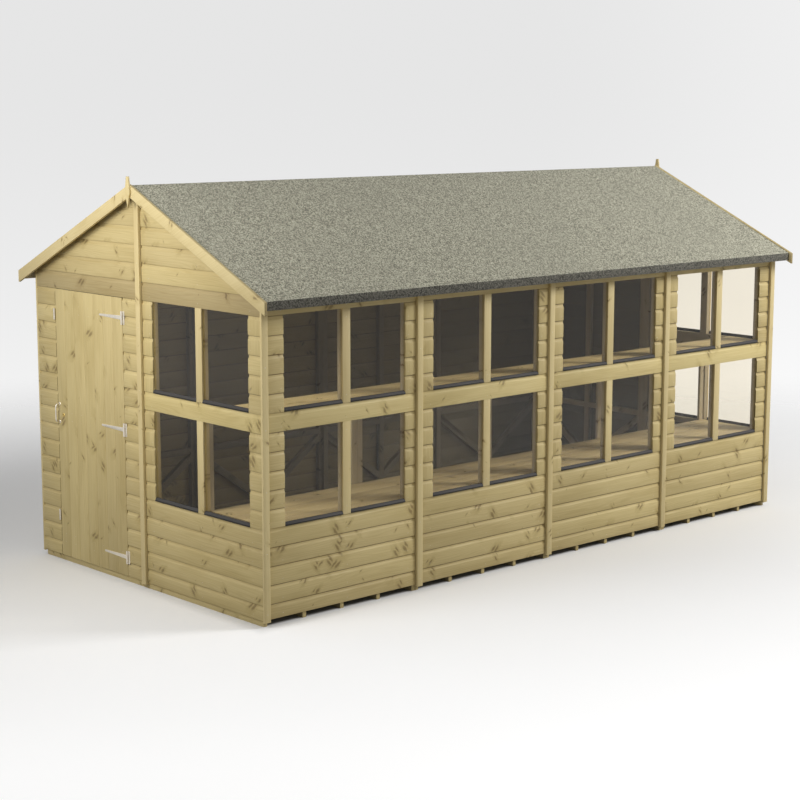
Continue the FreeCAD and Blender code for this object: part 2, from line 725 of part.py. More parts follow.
barge_top = f"({deck_top} + {felt_rise} + barge_rise / {LEAN})"
barge_drop = f"barge_width / {LEAN}"
barge_end = "(panel_width + barge_reach)"
barge_face = f"({ROOF_END} + barge_thickness)"
barges = []
for way in ("", "-"):
    corners = [
        ("0", barge_top),
        (f"{way}{barge_end}", f"{barge_top} - {barge_end} * {SLOPE}"),
        (f"{way}{barge_end}", f"{barge_top} - {barge_end} * {SLOPE} - {barge_drop}"),
        ("0", f"{barge_top} - {barge_drop}"),
    ]
    barges.append(prism("Barge", "y", corners, f"-{barge_face}", f"-{ROOF_END}"))
node("bargeboards_front", barges)
node("bargeboards_rear", barges, 180)

finial_top = f"({deck_top} + finial_rise)"
finial = prism("Finial", "y", [
    ("0", f"{finial_top} - finial_height"),
    ("finial_width / 2", f"{finial_top} - finial_height + finial_shoulder"),
    ("finial_top_width / 2", finial_top),
    ("-finial_top_width / 2", finial_top),
    ("-finial_width / 2", f"{finial_top} - finial_height + finial_shoulder"),
], f"-({barge_face} + finial_thickness)", f"-{barge_face}")
node("finial_front", [finial])
node("finial_rear", [finial], 180)


# Door leaf, in the frame of the door panel
DOOR_BACK = "(board_thickness - door_stop_gap)"
LEDGE_BACK = f"({DOOR_BACK} + ledge_thickness)"
LOCK = ("door_left + lock_inset", "lock_height")
LOCK_HOLE = (LOCK, "barrel_radius + barrel_play")
ledge_left = "door_left + door_lap + ledge_play"
ledge_right = "door_left + door_width - door_lap - ledge_play"
hinge_heights = ("low_hinge", "middle_hinge", f"({HEAD} - high_hinge_drop)")

leaf = new_body("DoorBoards")
door_step = "(door_width / door_board_count)"
board_left = "(door_left + board_gap / 2)"
board_right = f"(door_left + {door_step} - board_gap / 2)"
plan = [
    (board_left, "door_board_chamfer"),
    (f"{board_left} + door_board_chamfer", "0"),
    (f"{board_right} - door_board_chamfer", "0"),
    (board_right, "door_board_chamfer"),
    (board_right, DOOR_BACK),
    (board_left, DOOR_BACK),
]
pad = extrude(leaf, "Pad", "z", plan, "cladding_bottom", f"{HEAD} - door_gap")
repeat(leaf, pad, ("H_Axis", door_step, "door_board_count"))
extrude(leaf, "Pocket", "y", LOCK_HOLE, "-board_thickness", "2 * board_thickness")
node("door_boards", [leaf], *FRONT_LEFT)

ledges = []
for height in hinge_heights:
    tall = (f"{height} - ledge_height / 2", f"{height} + ledge_height / 2")
    face = rectangle((ledge_left, ledge_right), tall)
    ledges.append(prism("Ledge", "y", face, DOOR_BACK, LEDGE_BACK))
extrude(ledges[1], "Pocket", "y", LOCK_HOLE, "0", f"2 * {LEDGE_BACK}")
node("door_ledges", ledges, *FRONT_LEFT)

braces = []
for lower, upper in zip(hinge_heights, hinge_heights[1:]):
    corners = [
        (f"{ledge_right} - brace_width", f"{lower} + ledge_height / 2"),
        (ledge_right, f"{lower} + ledge_height / 2"),
        (f"{ledge_left} + brace_width", f"{upper} - ledge_height / 2"),
        (ledge_left, f"{upper} - ledge_height / 2"),
    ]
    braces.append(prism("DoorBrace", "y", corners, DOOR_BACK, LEDGE_BACK))
node("door_braces", braces, *FRONT_LEFT)


# Hinges, about an axis standing clear of the boards
AXIS = ("0", "-(knuckle_radius + knuckle_play)")
hinge_line = "door_left + door_width + door_gap / 2"
knuckle_end = "(strap_height / 2)"
plate_end = "(plate_height / 2)"
bore = (AXIS, "pin_radius + running_clearance")
knuckle = many_sided(AXIS, "knuckle_radius")

strap_end = f"({knuckle_end} - knuckle_play)"
strap = prism("Strap", "y", [
    ("0", f"-{strap_end}"),
    ("0", strap_end),
    ("strap_tip / 2 - strap_length", "strap_tip / 2", "strap_tip / 2"),
    ("-strap_length", "0", "strap_tip / 2"),
    ("strap_tip / 2 - strap_length", "-strap_tip / 2"),
], "-strap_thickness", "0")
extrude(strap, "Pad", "z", knuckle, f"-{knuckle_end}", knuckle_end)
extrude(strap, "Pocket", "z", bore, "-strap_height", "strap_height")

plate_face = rectangle(("0", "plate_width"), (f"-{plate_end}", plate_end))
frame_plate = prism("FramePlate", "y", plate_face, "-strap_thickness", "0")
extrude(frame_plate, "Pad", "z", knuckle, f"-{plate_end}", plate_end)
notch_end = f"({knuckle_end} + knuckle_play)"
notch = rectangle(("-1.2 * knuckle_radius", "1.2 * knuckle_radius"), (f"-{notch_end}", notch_end))
extrude(frame_plate, "Pocket", "y", notch, "-4 * knuckle_radius", "knuckle_radius")
extrude(frame_plate, "Pad", "z", (AXIS, "pin_radius"), f"-{plate_end}", plate_end)

for label, piece in (("hinge_straps", strap), ("hinge_plates", frame_plate)):
    node(label, [placed([piece], 0, (hinge_line, "0", height)) for height in hinge_heights], *FRONT_LEFT)


# Door handle: a bent rod on two round feet
handle = new_body("Handle")
grip = "(rod_radius - handle_reach)"
path = sketch_across(handle, "x", "0")
draw_line(path, [
    ("0", "handle_length"),
    (f"{grip} + handle_bend", "handle_length", "handle_bend"),
    (grip, "handle_length - handle_bend"),
    (grip, "handle_bend", "handle_bend"),
    (f"{grip} + handle_bend", "0"),
    ("0", "0"),
], closed=False)
section_sketch = sketch_across(handle, "y", "0")
draw_line(section_sketch, many_sided(("0", "handle_length"), "rod_radius", 8))
doc.recompute()
rod = handle.newObject("PartDesign::AdditivePipe", "Rod")
rod.Profile = section_sketch
rod.Spine = (path, [])
doc.recompute()
for height in ("0", "handle_length"):
    extrude(handle, "Pad", "y", many_sided(("0", height), "foot_radius"), "-foot_thickness", "0")
handle_spot = placed([handle], 0, ("door_left + handle_inset", "0", "handle_bottom"))
node("door_handle", [handle_spot], *FRONT_LEFT)


# Rim lock: the cam on the plug slides the bolt into the keep on the door post
cylinder = new_body("Cylinder")
barrel_end = f"{LEDGE_BACK} + case_wall"
extrude(cylinder, "Pad", "y", many_sided(LOCK, "flange_radius", 16), "-foot_thickness", "0")
extrude(cylinder, "Pad", "y", many_sided(LOCK, "barrel_radius"), "0", barrel_end)
plug_bore = (LOCK, "plug_radius + running_clearance")
extrude(cylinder, "Pocket", "y", plug_bore, "-board_thickness", f"2 * {LEDGE_BACK}")
node("lock_cylinder", [cylinder], *FRONT_LEFT)

CASE_BACK = f"({LEDGE_BACK} + case_depth)"
case_left = f"({ledge_left} + board_gap)"
case_bottom = "(lock_height - case_height * 0.4)"
bolt_back = f"({CASE_BACK} - case_wall - knuckle_play)"
bolt_front = f"({bolt_back} - bolt_thickness)"
bolt_bottom = "(lock_height - board_gap)"
bolt_top = f"({bolt_bottom} + bolt_height)"
case = new_body("LockCase")
outside = rectangle((case_left, f"{case_left} + case_length"), (case_bottom, f"{case_bottom} + case_height"))
hollow = rectangle(
    (f"{case_left} + case_wall", f"{case_left} + case_length - case_wall"),
    (f"{case_bottom} + case_wall", f"{case_bottom} + case_height - case_wall"),
)
mouth = rectangle(
    (f"{case_left} - case_wall", f"{case_left} + 2 * case_wall"),
    (f"{bolt_bottom} - bolt_play", f"{bolt_top} + bolt_play"),
)
extrude(case, "Pad", "y", outside, LEDGE_BACK, CASE_BACK)
extrude(case, "Pocket", "y", hollow, DOOR_BACK, f"{CASE_BACK} - case_wall")
extrude(case, "Pocket", "y", mouth, f"{bolt_front} - bolt_play", f"{CASE_BACK} - case_wall")
node("lock_case", [case], *FRONT_LEFT)

plug = new_body("Plug")
arm_back = f"({bolt_front} - bolt_play)"
arm_front = f"({arm_back} - bolt_thickness)"
arm = rectangle(("-plug_radius", "plug_radius"), ("-plug_radius", "cam_throw + cam_pin_radius + case_wall"))
half_key = "key_slot_width / 2"
key_slot = rectangle((f"-{half_key}", half_key), ("-plug_radius * 0.7", "plug_radius * 0.7"))
extrude(plug, "Pad", "y", (("0", "0"), "plug_radius"), "-foot_thickness - board_gap / 2", arm_back)
extrude(plug, "Pad", "y", arm, arm_front, arm_back)
cam_pin = many_sided(("0", "cam_throw"), "cam_pin_radius", 8)
extrude(plug, "Pad", "y", cam_pin, arm_back, f"{bolt_back} - bolt_play")
extrude(plug, "Pocket", "y", key_slot, "-board_thickness", "board_thickness")
plug.Placement.Rotation = FreeCAD.Rotation(V(0, 1, 0), 45)
plug.setExpression(".Placement.Base.x", cells(LOCK[0]))
plug.setExpression(".Placement.Base.z", cells(LOCK[1]))
node("lock_plug", [plug], *FRONT_LEFT)

bolt = new_body("Bolt")
bolt_tip = f"({case_left} - board_gap)"
bolt_face = rectangle((bolt_tip, f"{bolt_tip} + bolt_length"), (bolt_bottom, bolt_top))
slot_half = "(cam_pin_radius + cam_slot_play)"
slot_line = f"({LOCK[0]} + cam_throw * sin(45 deg))"
slot = rectangle(
    (f"{slot_line} - {slot_half}", f"{slot_line} + {slot_half}"),
    (f"lock_height + cam_throw * cos(45 deg) - {slot_half}", f"lock_height + cam_throw + {slot_half}"),
)
extrude(bolt, "Pad", "y", bolt_face, bolt_front, bolt_back)
extrude(bolt, "Pocket", "y", slot, DOOR_BACK, f"2 * {CASE_BACK}")
node("lock_bolt", [bolt], *FRONT_LEFT)

keep = new_body("Keep")
keep_right = "(door_left + door_lap - case_wall)"
keep_left = f"({keep_right} - stud_width * 0.85)"
keep_face = rectangle(
    (keep_left, keep_right),
    (f"{bolt_bottom} - 3 * case_wall", f"{bolt_top} + 3 * case_wall"),
)
keep_mouth = rectangle(
    (f"{keep_left} + 6 * case_wall", f"{keep_right} + case_wall"),
    (f"{bolt_bottom} - bolt_play", f"{bolt_top} + bolt_play"),
)
extrude(keep, "Pad", "y", keep_face, FRAME_BACK, f"{CASE_BACK} + case_wall")
extrude(keep, "Pocket", "y", keep_mouth, "board_thickness", f"{bolt_back} + bolt_play")
node("lock_keep", [keep], *FRONT_LEFT)


# Turn buttons on the boards beside the door
button_line = "door_left - door_gap - pivot_radius * 2.8"
half_button = "(button_width / 2)"
half_length = "(button_length / 2)"
button_front = "-(button_stand_off + button_thickness)"
button = prism("Button", "y", [
    (half_button, f"-{half_length} * 0.9"),
    (half_button, f"{half_length} * 0.9"),
    (f"{half_button} * 0.5", half_length),
    (f"-{half_button} * 0.5", half_length),
    (f"-{half_button}", f"{half_length} * 0.9"),
    (f"-{half_button}", f"-{half_length} * 0.9"),
    (f"-{half_button} * 0.5", f"-{half_length}"),
    (f"{half_button} * 0.5", f"-{half_length}"),
], button_front, "-button_stand_off")
button_bore = (("0", "0"), "pivot_radius + running_clearance")
extrude(button, "Pocket", "y", button_bore, "-button_length", "button_length")

pivot = new_body("Pivot")
head_back = f"{button_front} - knuckle_play"
extrude(pivot, "Pad", "y", (("0", "0"), "pivot_radius"), head_back, "0")
head = many_sided(("0", "0"), "pivot_radius * 2.2")
washer = many_sided(("0", "0"), "pivot_radius * 2.6")
extrude(pivot, "Pad", "y", head, f"{head_back} - pivot_radius", head_back)
extrude(pivot, "Pad", "y", washer, "knuckle_play - button_stand_off", "0")
spots = [(button_line, "0", height) for height in (f"{HEAD} - high_button_drop", "low_button")]
node("turn_button_high", [placed([button], 0, spots[0])], *FRONT_LEFT)
node("turn_button_low", [placed([button], 0, spots[1])], *FRONT_LEFT)
node("turn_button_pivots", [placed([pivot], 0, spot) for spot in spots], *FRONT_LEFT)


# Potting shelf along the window side
shelf_back = f"({inside} - board_gap)"
shelf_step = "(shelf_depth / shelf_board_count)"
shelf_end = f"({HALF_LENGTH} - stud_width / 5)"
shelf_under = "(shelf_height - shelf_thickness)"
shelf = new_body("Shelf")
last_board = (f"{shelf_back} - {shelf_step} + board_gap", shelf_back)
shelf_plan = rectangle(last_board, (f"-{shelf_end}", shelf_end))
pad = extrude(shelf, "Pad", "z", shelf_plan, shelf_under, "shelf_height")
repeat(shelf, pad, ("H_Axis", shelf_step, "shelf_board_count"))
shelf.Tip.Reversed = True
node("shelf_boards", [shelf])

# Bench below the shelf. Its legs stand at its front edge and go on up to the shelf's brackets
bench_step = "(bench_depth / bench_board_count)"
bench_under = "(bench_height - bench_thickness)"
bench_front = f"({shelf_back} - bench_depth + board_gap)"
bench = new_body("Bench")
back_board = (f"{shelf_back} - {bench_step} + board_gap", shelf_back)
bench_plan = rectangle(back_board, (f"-{shelf_end}", shelf_end))
pad = extrude(bench, "Pad", "z", bench_plan, bench_under, "bench_height")
repeat(bench, pad, ("H_Axis", bench_step, "bench_board_count"))
bench.Tip.Reversed = True
node("bench_boards", [bench])

leg_top = f"({shelf_under} - leg_drop)"
leg_span = ("board_gap", "leg_width")
leg = block("Leg", (f"{bench_front} - leg_thickness", bench_front), leg_span, (FLOOR_TOP, leg_top))
bench_rail = block("BenchRail", (bench_front, inside), leg_span, (f"{bench_under} - leg_width", bench_under))
frame_lines = [f"{k} * panel_width - {HALF_LENGTH}" for k in range(SIDE_COUNT)]
frame_lines += [f"{line} + panel_width - leg_width - board_gap" for line in frame_lines]
node("bench_frames", [placed([leg, bench_rail], 0, ("0", line, "0")) for line in frame_lines])

bracket = prism("Bracket", "y", [
    (inside, shelf_under),
    (f"{inside} - shelf_depth * 0.95", shelf_under),
    (bench_front, leg_top),
    (bench_front, f"{leg_top} - bracket_depth"),
    (inside, f"{leg_top} - bracket_depth"),
], "-bracket_thickness / 2", "bracket_thickness / 2")
bracket_lines = [f"{k} * panel_width - {HALF_LENGTH}" for k in range(1, SIDE_COUNT)]
bracket_lines += [f"{way}({HALF_LENGTH} - stud_width / 2)" for way in ("", "-")]
node("shelf_brackets", [placed([bracket], 0, ("0", line, "0")) for line in bracket_lines])


# Check every feature, then write one file for each sub-part
doc.recompute()
for item in doc.Objects:
    if "Invalid" in item.State or "Error" in item.State:
        raise RuntimeError(f"{item.Label} did not build: {item.State}")
os.makedirs("parts", exist_ok=True)
for item in nodes:
    if item.Shape.isNull() or not item.Shape.isValid() or not item.Shape.Solids:
        raise RuntimeError(f"{item.Label} has no sound solid")
    item.Shape.exportStep(f"parts/{item.Label}.step")
print(len(nodes), "sub-parts,", sum(len(item.Shape.Solids) for item in nodes), "solids")
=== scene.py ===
# %% [markdown]
# # A potting shed in treated pine
# The shed's timber, glass and ironwork come in as CAD solids, already in place and in metres.
# This lesson dresses them: every board gets eased edges and its own grain, the roof gets mineral
# felt, and the small ironwork is modelled afresh. Nothing is moved or resized.

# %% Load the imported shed
import json
import math
import random

import bmesh
import bpy
from mathutils import Matrix, Vector


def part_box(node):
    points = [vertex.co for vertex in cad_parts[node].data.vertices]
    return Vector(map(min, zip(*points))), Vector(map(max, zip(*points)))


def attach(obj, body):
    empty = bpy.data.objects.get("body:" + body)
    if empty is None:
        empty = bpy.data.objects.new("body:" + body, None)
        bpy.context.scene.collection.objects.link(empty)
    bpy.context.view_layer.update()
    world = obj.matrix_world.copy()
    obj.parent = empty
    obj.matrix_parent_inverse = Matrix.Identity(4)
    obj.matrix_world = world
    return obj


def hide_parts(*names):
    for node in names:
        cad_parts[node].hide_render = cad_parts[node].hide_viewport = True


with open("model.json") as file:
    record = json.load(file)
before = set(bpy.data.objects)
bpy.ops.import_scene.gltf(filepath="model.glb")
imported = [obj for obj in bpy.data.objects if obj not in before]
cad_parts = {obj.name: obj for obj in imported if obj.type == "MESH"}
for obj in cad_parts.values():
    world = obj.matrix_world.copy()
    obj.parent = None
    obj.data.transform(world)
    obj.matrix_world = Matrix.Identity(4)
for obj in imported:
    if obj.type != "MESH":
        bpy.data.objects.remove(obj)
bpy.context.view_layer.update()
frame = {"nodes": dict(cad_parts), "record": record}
body_of_node = {node: body for body, nodes in frame["record"]["behaviour"]["bodies"].items() for node in nodes}

# %% [markdown]
# ## Camera
# The photograph was taken with a long lens from the corner between the door gable and the window
# side, a little above the eaves. The vanishing lines of walls and roof give the lens, the place and
# the aim, so these are written down as they were worked out.

# %% Camera at the photograph's angle
scene = bpy.context.scene
lens = bpy.data.cameras.new("photo_camera")
lens.sensor_width = 36.0
lens.lens = 81.73
lens.clip_end = 200.0
camera = bpy.data.objects.new("photo_camera", lens)
camera.location = (9.3545, -8.8401, 3.0715)
camera.rotation_euler = (math.pi / 2 - 0.164, -0.001, 0.8286)
scene.collection.objects.link(camera)
scene.camera = camera
scene.view_settings.view_transform = "Standard"
print("camera", round(camera.location.length, 2), "m from the middle of the floor")

# %% [markdown]
# ## Building finishes from nodes
# A finish is a small tree of nodes ending in one shader. Adding nodes is wordy, so one helper sets a
# node's settings and either fills or links its sockets. Two more cover what every finish needs:
# arithmetic and blending of colours.


# %% Node helpers
def add(tree, kind, sockets=None, **settings):
    """Add a node; a socket is given a value, or another node's output to follow."""
    made = tree.nodes.new("ShaderNode" + kind)
    for name, value in settings.items():
        setattr(made, name, value)
    for name, value in (sockets or {}).items():
        if isinstance(value, bpy.types.NodeSocket):
            tree.links.new(value, made.inputs[name])
        else:
            made.inputs[name].default_value = value
    return made


def reckon(tree, operation, *values):
    """Arithmetic on numbers or outputs."""
    return add(tree, "Math", dict(enumerate(values)), operation=operation).outputs[0]


def spread(tree, value, low, high, to_low=0.0, to_high=1.0):
    """Ease a value from one range to another, without passing its ends."""
    sockets = {"Value": value, "From Min": low, "From Max": high, "To Min": to_low, "To Max": to_high}
    return add(tree, "MapRange", sockets, interpolation_type="SMOOTHSTEP").outputs["Result"]


def tint(tree, factor, under, over, way="MIX"):
    """Lay one colour over another."""
    mixed = add(tree, "Mix", {0: factor, 6: under, 7: over}, data_type="RGBA", blend_type=way)
    return mixed.outputs[2]


def stretch(tree, vector, along, across, deep):
    """Scale a pattern's coordinates."""
    mapped = add(tree, "Mapping", {"Vector": vector, "Scale": (along, across, deep)})
    return mapped.outputs["Vector"]


def new_finish(name, roughness, metallic=0.0, ior=1.45, transmission=0.0):
    """A material with one shader, whose plain values are set on its own sockets."""
    finish = bpy.data.materials.new(name)
    finish.use_nodes = True
    shader = finish.node_tree.nodes["Principled BSDF"]
    shader.inputs["Roughness"].default_value = roughness
    shader.inputs["Metallic"].default_value = metallic
    shader.inputs["IOR"].default_value = ior
    shader.inputs["Transmission Weight"].default_value = transmission
    return finish, finish.node_tree, shader


# %% [markdown]
# ## Pressure-treated pine
# Treated pine is a greenish tan, with soft growth lines along the board, brown knots that lie aslant
# the grain, and dark end grain where a board is cut. An image would repeat on every board, so the
# finish is worked out from a board's own coordinates: `grain` holds a point's place along, across
# and through its board, with a different start for each board, `tone` is how light that board is,
# and `end` marks the sawn ends.


# %% Pine finish
def pine(name, pale, dark, knot, knots=1.0, saw_marks=0.0, roughness=0.6):
    """A pine finish between two colours, with knots of a third."""
    finish, tree, shader = new_finish(name, roughness)
    grain = add(tree, "Attribute", attribute_name="grain").outputs["Vector"]
    tone = add(tree, "Attribute", attribute_name="tone").outputs["Fac"]
    end = add(tree, "Attribute", attribute_name="end").outputs["Fac"]

    cores, halos = [], []
    ripple = add(tree, "TexNoise", {"Vector": grain, "Scale": 45.0, "Detail": 1.0}).outputs["Color"]
    wavy = add(tree, "VectorMath", {0: ripple, 1: (0.016, 0.016, 0.0), 2: grain}, operation="MULTIPLY_ADD").outputs["Vector"]
    for slant, start in ((0.75, 0.0), (-0.95, 31.7)):
        slanted = add(tree, "Mapping", {"Vector": wavy, "Rotation": (0.0, 0.0, slant), "Location": (start, start, 0.0)})
        flat = stretch(tree, slanted.outputs["Vector"], 2.7, 8.2, 1.0)
        for aside, least in ((0.0, 0.35), (0.2, 0.6)):
            moved = add(tree, "VectorMath", {0: flat, 1: (0.2 * aside, aside, 0.0)}, operation="ADD").outputs["Vector"]
            cells = add(tree, "TexVoronoi", {"Vector": moved, "Scale": 1.0}, voronoi_dimensions="2D")
            chance = add(tree, "SeparateColor", {"Color": cells.outputs["Color"]})
            size = spread(tree, chance.outputs[0], least, 1.0, 0.0, 0.1 * knots)
            near = reckon(tree, "DIVIDE", cells.outputs["Distance"], reckon(tree, "ADD", size, 0.0001))
            cores.append(spread(tree, near, 0.3, 1.15, 1.0, 0.0))
            halos.append(spread(tree, near, 0.7, 3.0, 1.0, 0.0))
    core, halo = cores[0], halos[0]
    for k in range(1, 4):
        core, halo = reckon(tree, "MAXIMUM", core, cores[k]), reckon(tree, "MAXIMUM", halo, halos[k])

    wander = add(tree, "TexNoise", {"Vector": stretch(tree, grain, 0.9, 9.0, 9.0), "Scale": 1.0, "Detail": 2.0})
    across = add(tree, "SeparateXYZ", {"Vector": grain})
    swell = reckon(tree, "MULTIPLY", halo, 0.012)
    shifted = reckon(tree, "ADD", across.outputs["Y"], reckon(tree, "ADD", swell, across.outputs["Z"]))
    bend = reckon(tree, "MULTIPLY_ADD", wander.outputs["Fac"], 0.16, shifted)
    lines = reckon(tree, "SINE", reckon(tree, "MULTIPLY", bend, 520.0))
    growth = spread(tree, lines, -0.2, 1.0)
    fibre = add(tree, "TexNoise", {
        "Vector": stretch(tree, grain, 3.0, 170.0, 170.0), "Scale": 1.0, "Detail": 4.0, "Roughness": 0.6,
    }).outputs["Fac"]
    blotch = add(tree, "TexNoise", {
        "Vector": stretch(tree, grain, 1.6, 7.0, 7.0), "Scale": 1.0, "Detail": 3.0,
    }).outputs["Fac"]

    depth = reckon(tree, "MULTIPLY_ADD", growth, 0.16, reckon(tree, "MULTIPLY", fibre, 0.6))
    depth = reckon(tree, "ADD", depth, spread(tree, blotch, 0.35, 0.75, -0.16, 0.22))
    wood = tint(tree, depth, (*pale, 1.0), (*dark, 1.0))
    wood = tint(tree, reckon(tree, "MULTIPLY", halo, 0.5), wood, (*dark, 1.0))
    wood = tint(tree, reckon(tree, "MULTIPLY", core, 0.7), wood, (*knot, 1.0))
    wood = add(tree, "HueSaturation", {
        "Hue": reckon(tree, "MULTIPLY_ADD", tone, 0.001, 0.5),
        "Value": reckon(tree, "MULTIPLY_ADD", tone, 0.05, 1.0), "Color": wood,
    }).outputs["Color"]
    # Painted shade: each wall board darkens towards the knot colour just below its top edge, where the board above
    # overhangs it.
    painted_joint_shade = add(tree, "Attribute", attribute_name="painted_joint_shade").outputs["Fac"]
    wood = tint(tree, spread(tree, painted_joint_shade, 0.0015, 0.009, 0.75, 0.0), wood, (*knot, 1.0))
    sawn = tint(tree, fibre, tuple(0.4 * c for c in dark) + (1.0,), tuple(0.8 * c for c in dark) + (1.0,))
    wood = tint(tree, end, wood, sawn)
    # Painted shade: faces marked by the inside attribute are mixed towards a dark brown, as if in shade.
    painted_inside_shade = add(tree, "Attribute", attribute_name="inside").outputs["Fac"]
    wood = tint(tree, reckon(tree, "MULTIPLY", painted_inside_shade, 0.8), wood, (0.075, 0.067, 0.046, 1.0))
    tree.links.new(wood, shader.inputs["Base Color"])

    height = reckon(tree, "MULTIPLY_ADD", growth, 0.5, fibre)
    if saw_marks:
        saw = reckon(tree, "SINE", reckon(tree, "MULTIPLY", across.outputs["X"], 1100.0))
        height = reckon(tree, "MULTIPLY_ADD", saw, saw_marks, height)
    height = reckon(tree, "SUBTRACT", height, reckon(tree, "MULTIPLY", core, 0.6))
    bump = add(tree, "Bump", {"Height": height, "Strength": 0.35, "Distance": 0.0012})
    tree.links.new(bump.outputs["Normal"], shader.inputs["Normal"])
    rough = spread(tree, fibre, 0.3, 0.7, roughness - 0.1, roughness + 0.12)
    tree.links.new(rough, shader.inputs["Roughness"])
    return finish


cladding_pine = pine("cladding_pine", (0.640, 0.516, 0.246), (0.430, 0.323, 0.123), (0.180, 0.117, 0.040))
trim_pine = pine("trim_pine", (0.720, 0.590, 0.305), (0.540, 0.415, 0.180), (0.210, 0.135, 0.048), 0.7)
frame_pine = pine("frame_pine", (0.520, 0.446, 0.300), (0.360, 0.300, 0.190), (0.110, 0.072, 0.032), 1.0, 0.5, 0.72)
inside_pine = pine("inside_pine", (0.615, 0.507, 0.283), (0.432, 0.335, 0.157), (0.130, 0.080, 0.028), 0.9)
print("finishes:", ", ".join(m.name for m in (cladding_pine, trim_pine, frame_pine, inside_pine)))

# %% [markdown]
# ## Dressing the timber
# Each CAD node is a bundle of square-cut sticks. A copy is merged into clean solids, its flat faces
# are joined again, and a small bevel eases the arrises as a planing machine does. Then each loose
# stick is found, its longest edge taken as the grain, and the grain coordinates are written down.


# %% Timber helpers
def clean_copy(node):
    """A bmesh of a CAD node with its triangles joined into whole faces."""
    bm = bmesh.new()
    bm.from_mesh(frame["nodes"][node].data)
    bmesh.ops.remove_doubles(bm, verts=bm.verts, dist=0.00001)
    bmesh.ops.dissolve_limit(bm, angle_limit=math.radians(1.0), verts=bm.verts, edges=bm.edges)
    return bm


def ease_edges(bm, width, segments, least=25.0, most=181.0):
    """Bevel the edges whose faces meet between two angles, in degrees."""
    picked = [e for e in bm.edges if len(e.link_faces) == 2
              and least < math.degrees(e.calc_face_angle(0.0)) < most]
    bmesh.ops.bevel(bm, geom=picked, offset=width, offset_type="OFFSET", segments=segments, profile=0.5,
                    affect="EDGES", clamp_overlap=True, material=-1)


def loose_sticks(bm):
    """The faces of each separate stick."""
    unseen = set(bm.faces)
    while unseen:
        group = {unseen.pop()}
        edge_of_group = list(group)
        while edge_of_group:
            face = edge_of_group.pop()
            for edge in face.edges:
                for other in edge.link_faces:
                    if other in unseen:
                        unseen.remove(other)
                        group.add(other)
                        edge_of_group.append(other)
        yield group


def mark_grain(bm, seed, is_wall, fresh, shaded):
    """Write each stick's grain, tone and sawn ends, and the painted shade on board backs, on shaded nodes and below
    each board's top edge; returns how many sticks there are.
    """
    grain = bm.verts.layers.float_vector.new("grain")
    tone = bm.verts.layers.float.new("tone")
    end = bm.faces.layers.float.new("end")
    inside = bm.faces.layers.float.new("inside")
    painted_joint_shade = bm.verts.layers.float.new("painted_joint_shade")
    chance = random.Random(seed)
    count = 0
    sticks = sorted(loose_sticks(bm), key=lambda faces: min(f.index for f in faces))
    for faces in sticks:
        verts = {v for f in faces for v in f.verts}
        longest = max((e for f in faces for e in f.edges), key=lambda e: e.calc_length())
        along = (longest.verts[1].co - longest.verts[0].co).normalized()
        if along.dot(Vector((1.0, 1.1, 1.2))) < 0:
            along = -along
        broad = max(faces, key=lambda f: f.calc_area() * (abs(f.normal.dot(along)) < 0.5)).normal
        across = broad.cross(along)
        middle = sum((v.co for v in verts), Vector()) / len(verts)
        start = Vector((chance.uniform(0, 60), chance.uniform(0, 60), chance.uniform(0, 60)))
        shade = chance.uniform(-1.0, 1.0)
        if is_wall and "window" in seed and 1.16 < middle.z < 1.27 and longest.calc_length() > 1.0:
            shade += 3.0
        # The painted shade below each board's top edge is made weaker on the gables, and weaker still from the door
        # head up.
        softer_joint_shade = 0.0
        if is_wall and abs(middle.y) > 2.4:
            softer_joint_shade = 0.003
            if middle.z > 1.85:
                softer_joint_shade = 0.007
                shade += -0.6 if middle.z > 1.96 else -5.0
        top = max(v.co.z for v in verts) + softer_joint_shade
        # Boards that carry glass on their top edge get no painted shade there.
        below_glass = "window" in seed and (0.58 < top < 0.60 or 1.25 < top < 1.28)
        for v in verts:
            v[painted_joint_shade] = top - v.co.z if is_wall and not below_glass else 1.0
            arm = v.co - middle
            v[grain] = start + Vector((arm.dot(along), arm.dot(across), arm.dot(broad)))
            v[tone] = shade
        for f in faces:
            sawn = min(1.0, max(0.0, (abs(f.normal.dot(along)) - 0.6) / 0.3))
            f[end] = fresh * sawn
            # Backs of wall boards take painted shade, stronger towards the rear; the other faces of a shaded node take
            # it too, except sawn ends and faces out at the gables.
            is_back = is_wall and abs(f.normal.dot(broad)) > 0.9 and f.normal.dot(middle) < 0
            is_open = abs(f.calc_center_median().y) > 2.39
            dimmed = 0.0 if is_open else shaded * (1.0 - sawn)
            f[inside] = min(1.1, max(0.7, 0.87 + 0.1 * middle.y)) if is_back else dimmed
        count += 1
    return count


def piece(name, bm, finish, body, slot, smooth=30.0):
    """Make a bmesh into a finished piece that rides on a body."""
    mesh = bpy.data.meshes.new(name)
    bm.to_mesh(mesh)
    bm.free()
    mesh.shade_smooth()
    mesh.set_sharp_from_angle(angle=math.radians(smooth))
    mesh.materials.append(finish)
    made = bpy.data.objects.new(name, mesh)
    scene.collection.objects.link(made)
    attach(made, body)
    return made


def add_tongues(bm, tops):
    """Close each joint with the tongue that laps behind the next board."""
    for low, high in tops:
        flat = 0 if high[0] - low[0] < high[1] - low[1] else 1
        outer, inner = (high[flat], low[flat]) if low[flat] > 0 else (low[flat], high[flat])
        size = [high[0] - low[0], high[1] - low[1], 0.003]
        size[flat] = 0.002
        middle = [(low[0] + high[0]) / 2, (low[1] + high[1]) / 2, high[2] + 0.001]
        middle[flat] = outer + (inner - outer) * 0.75
        place = Matrix.Translation(middle) @ Matrix.Diagonal((*size, 1.0))
        bmesh.ops.create_cube(bm, size=1.0, matrix=place)


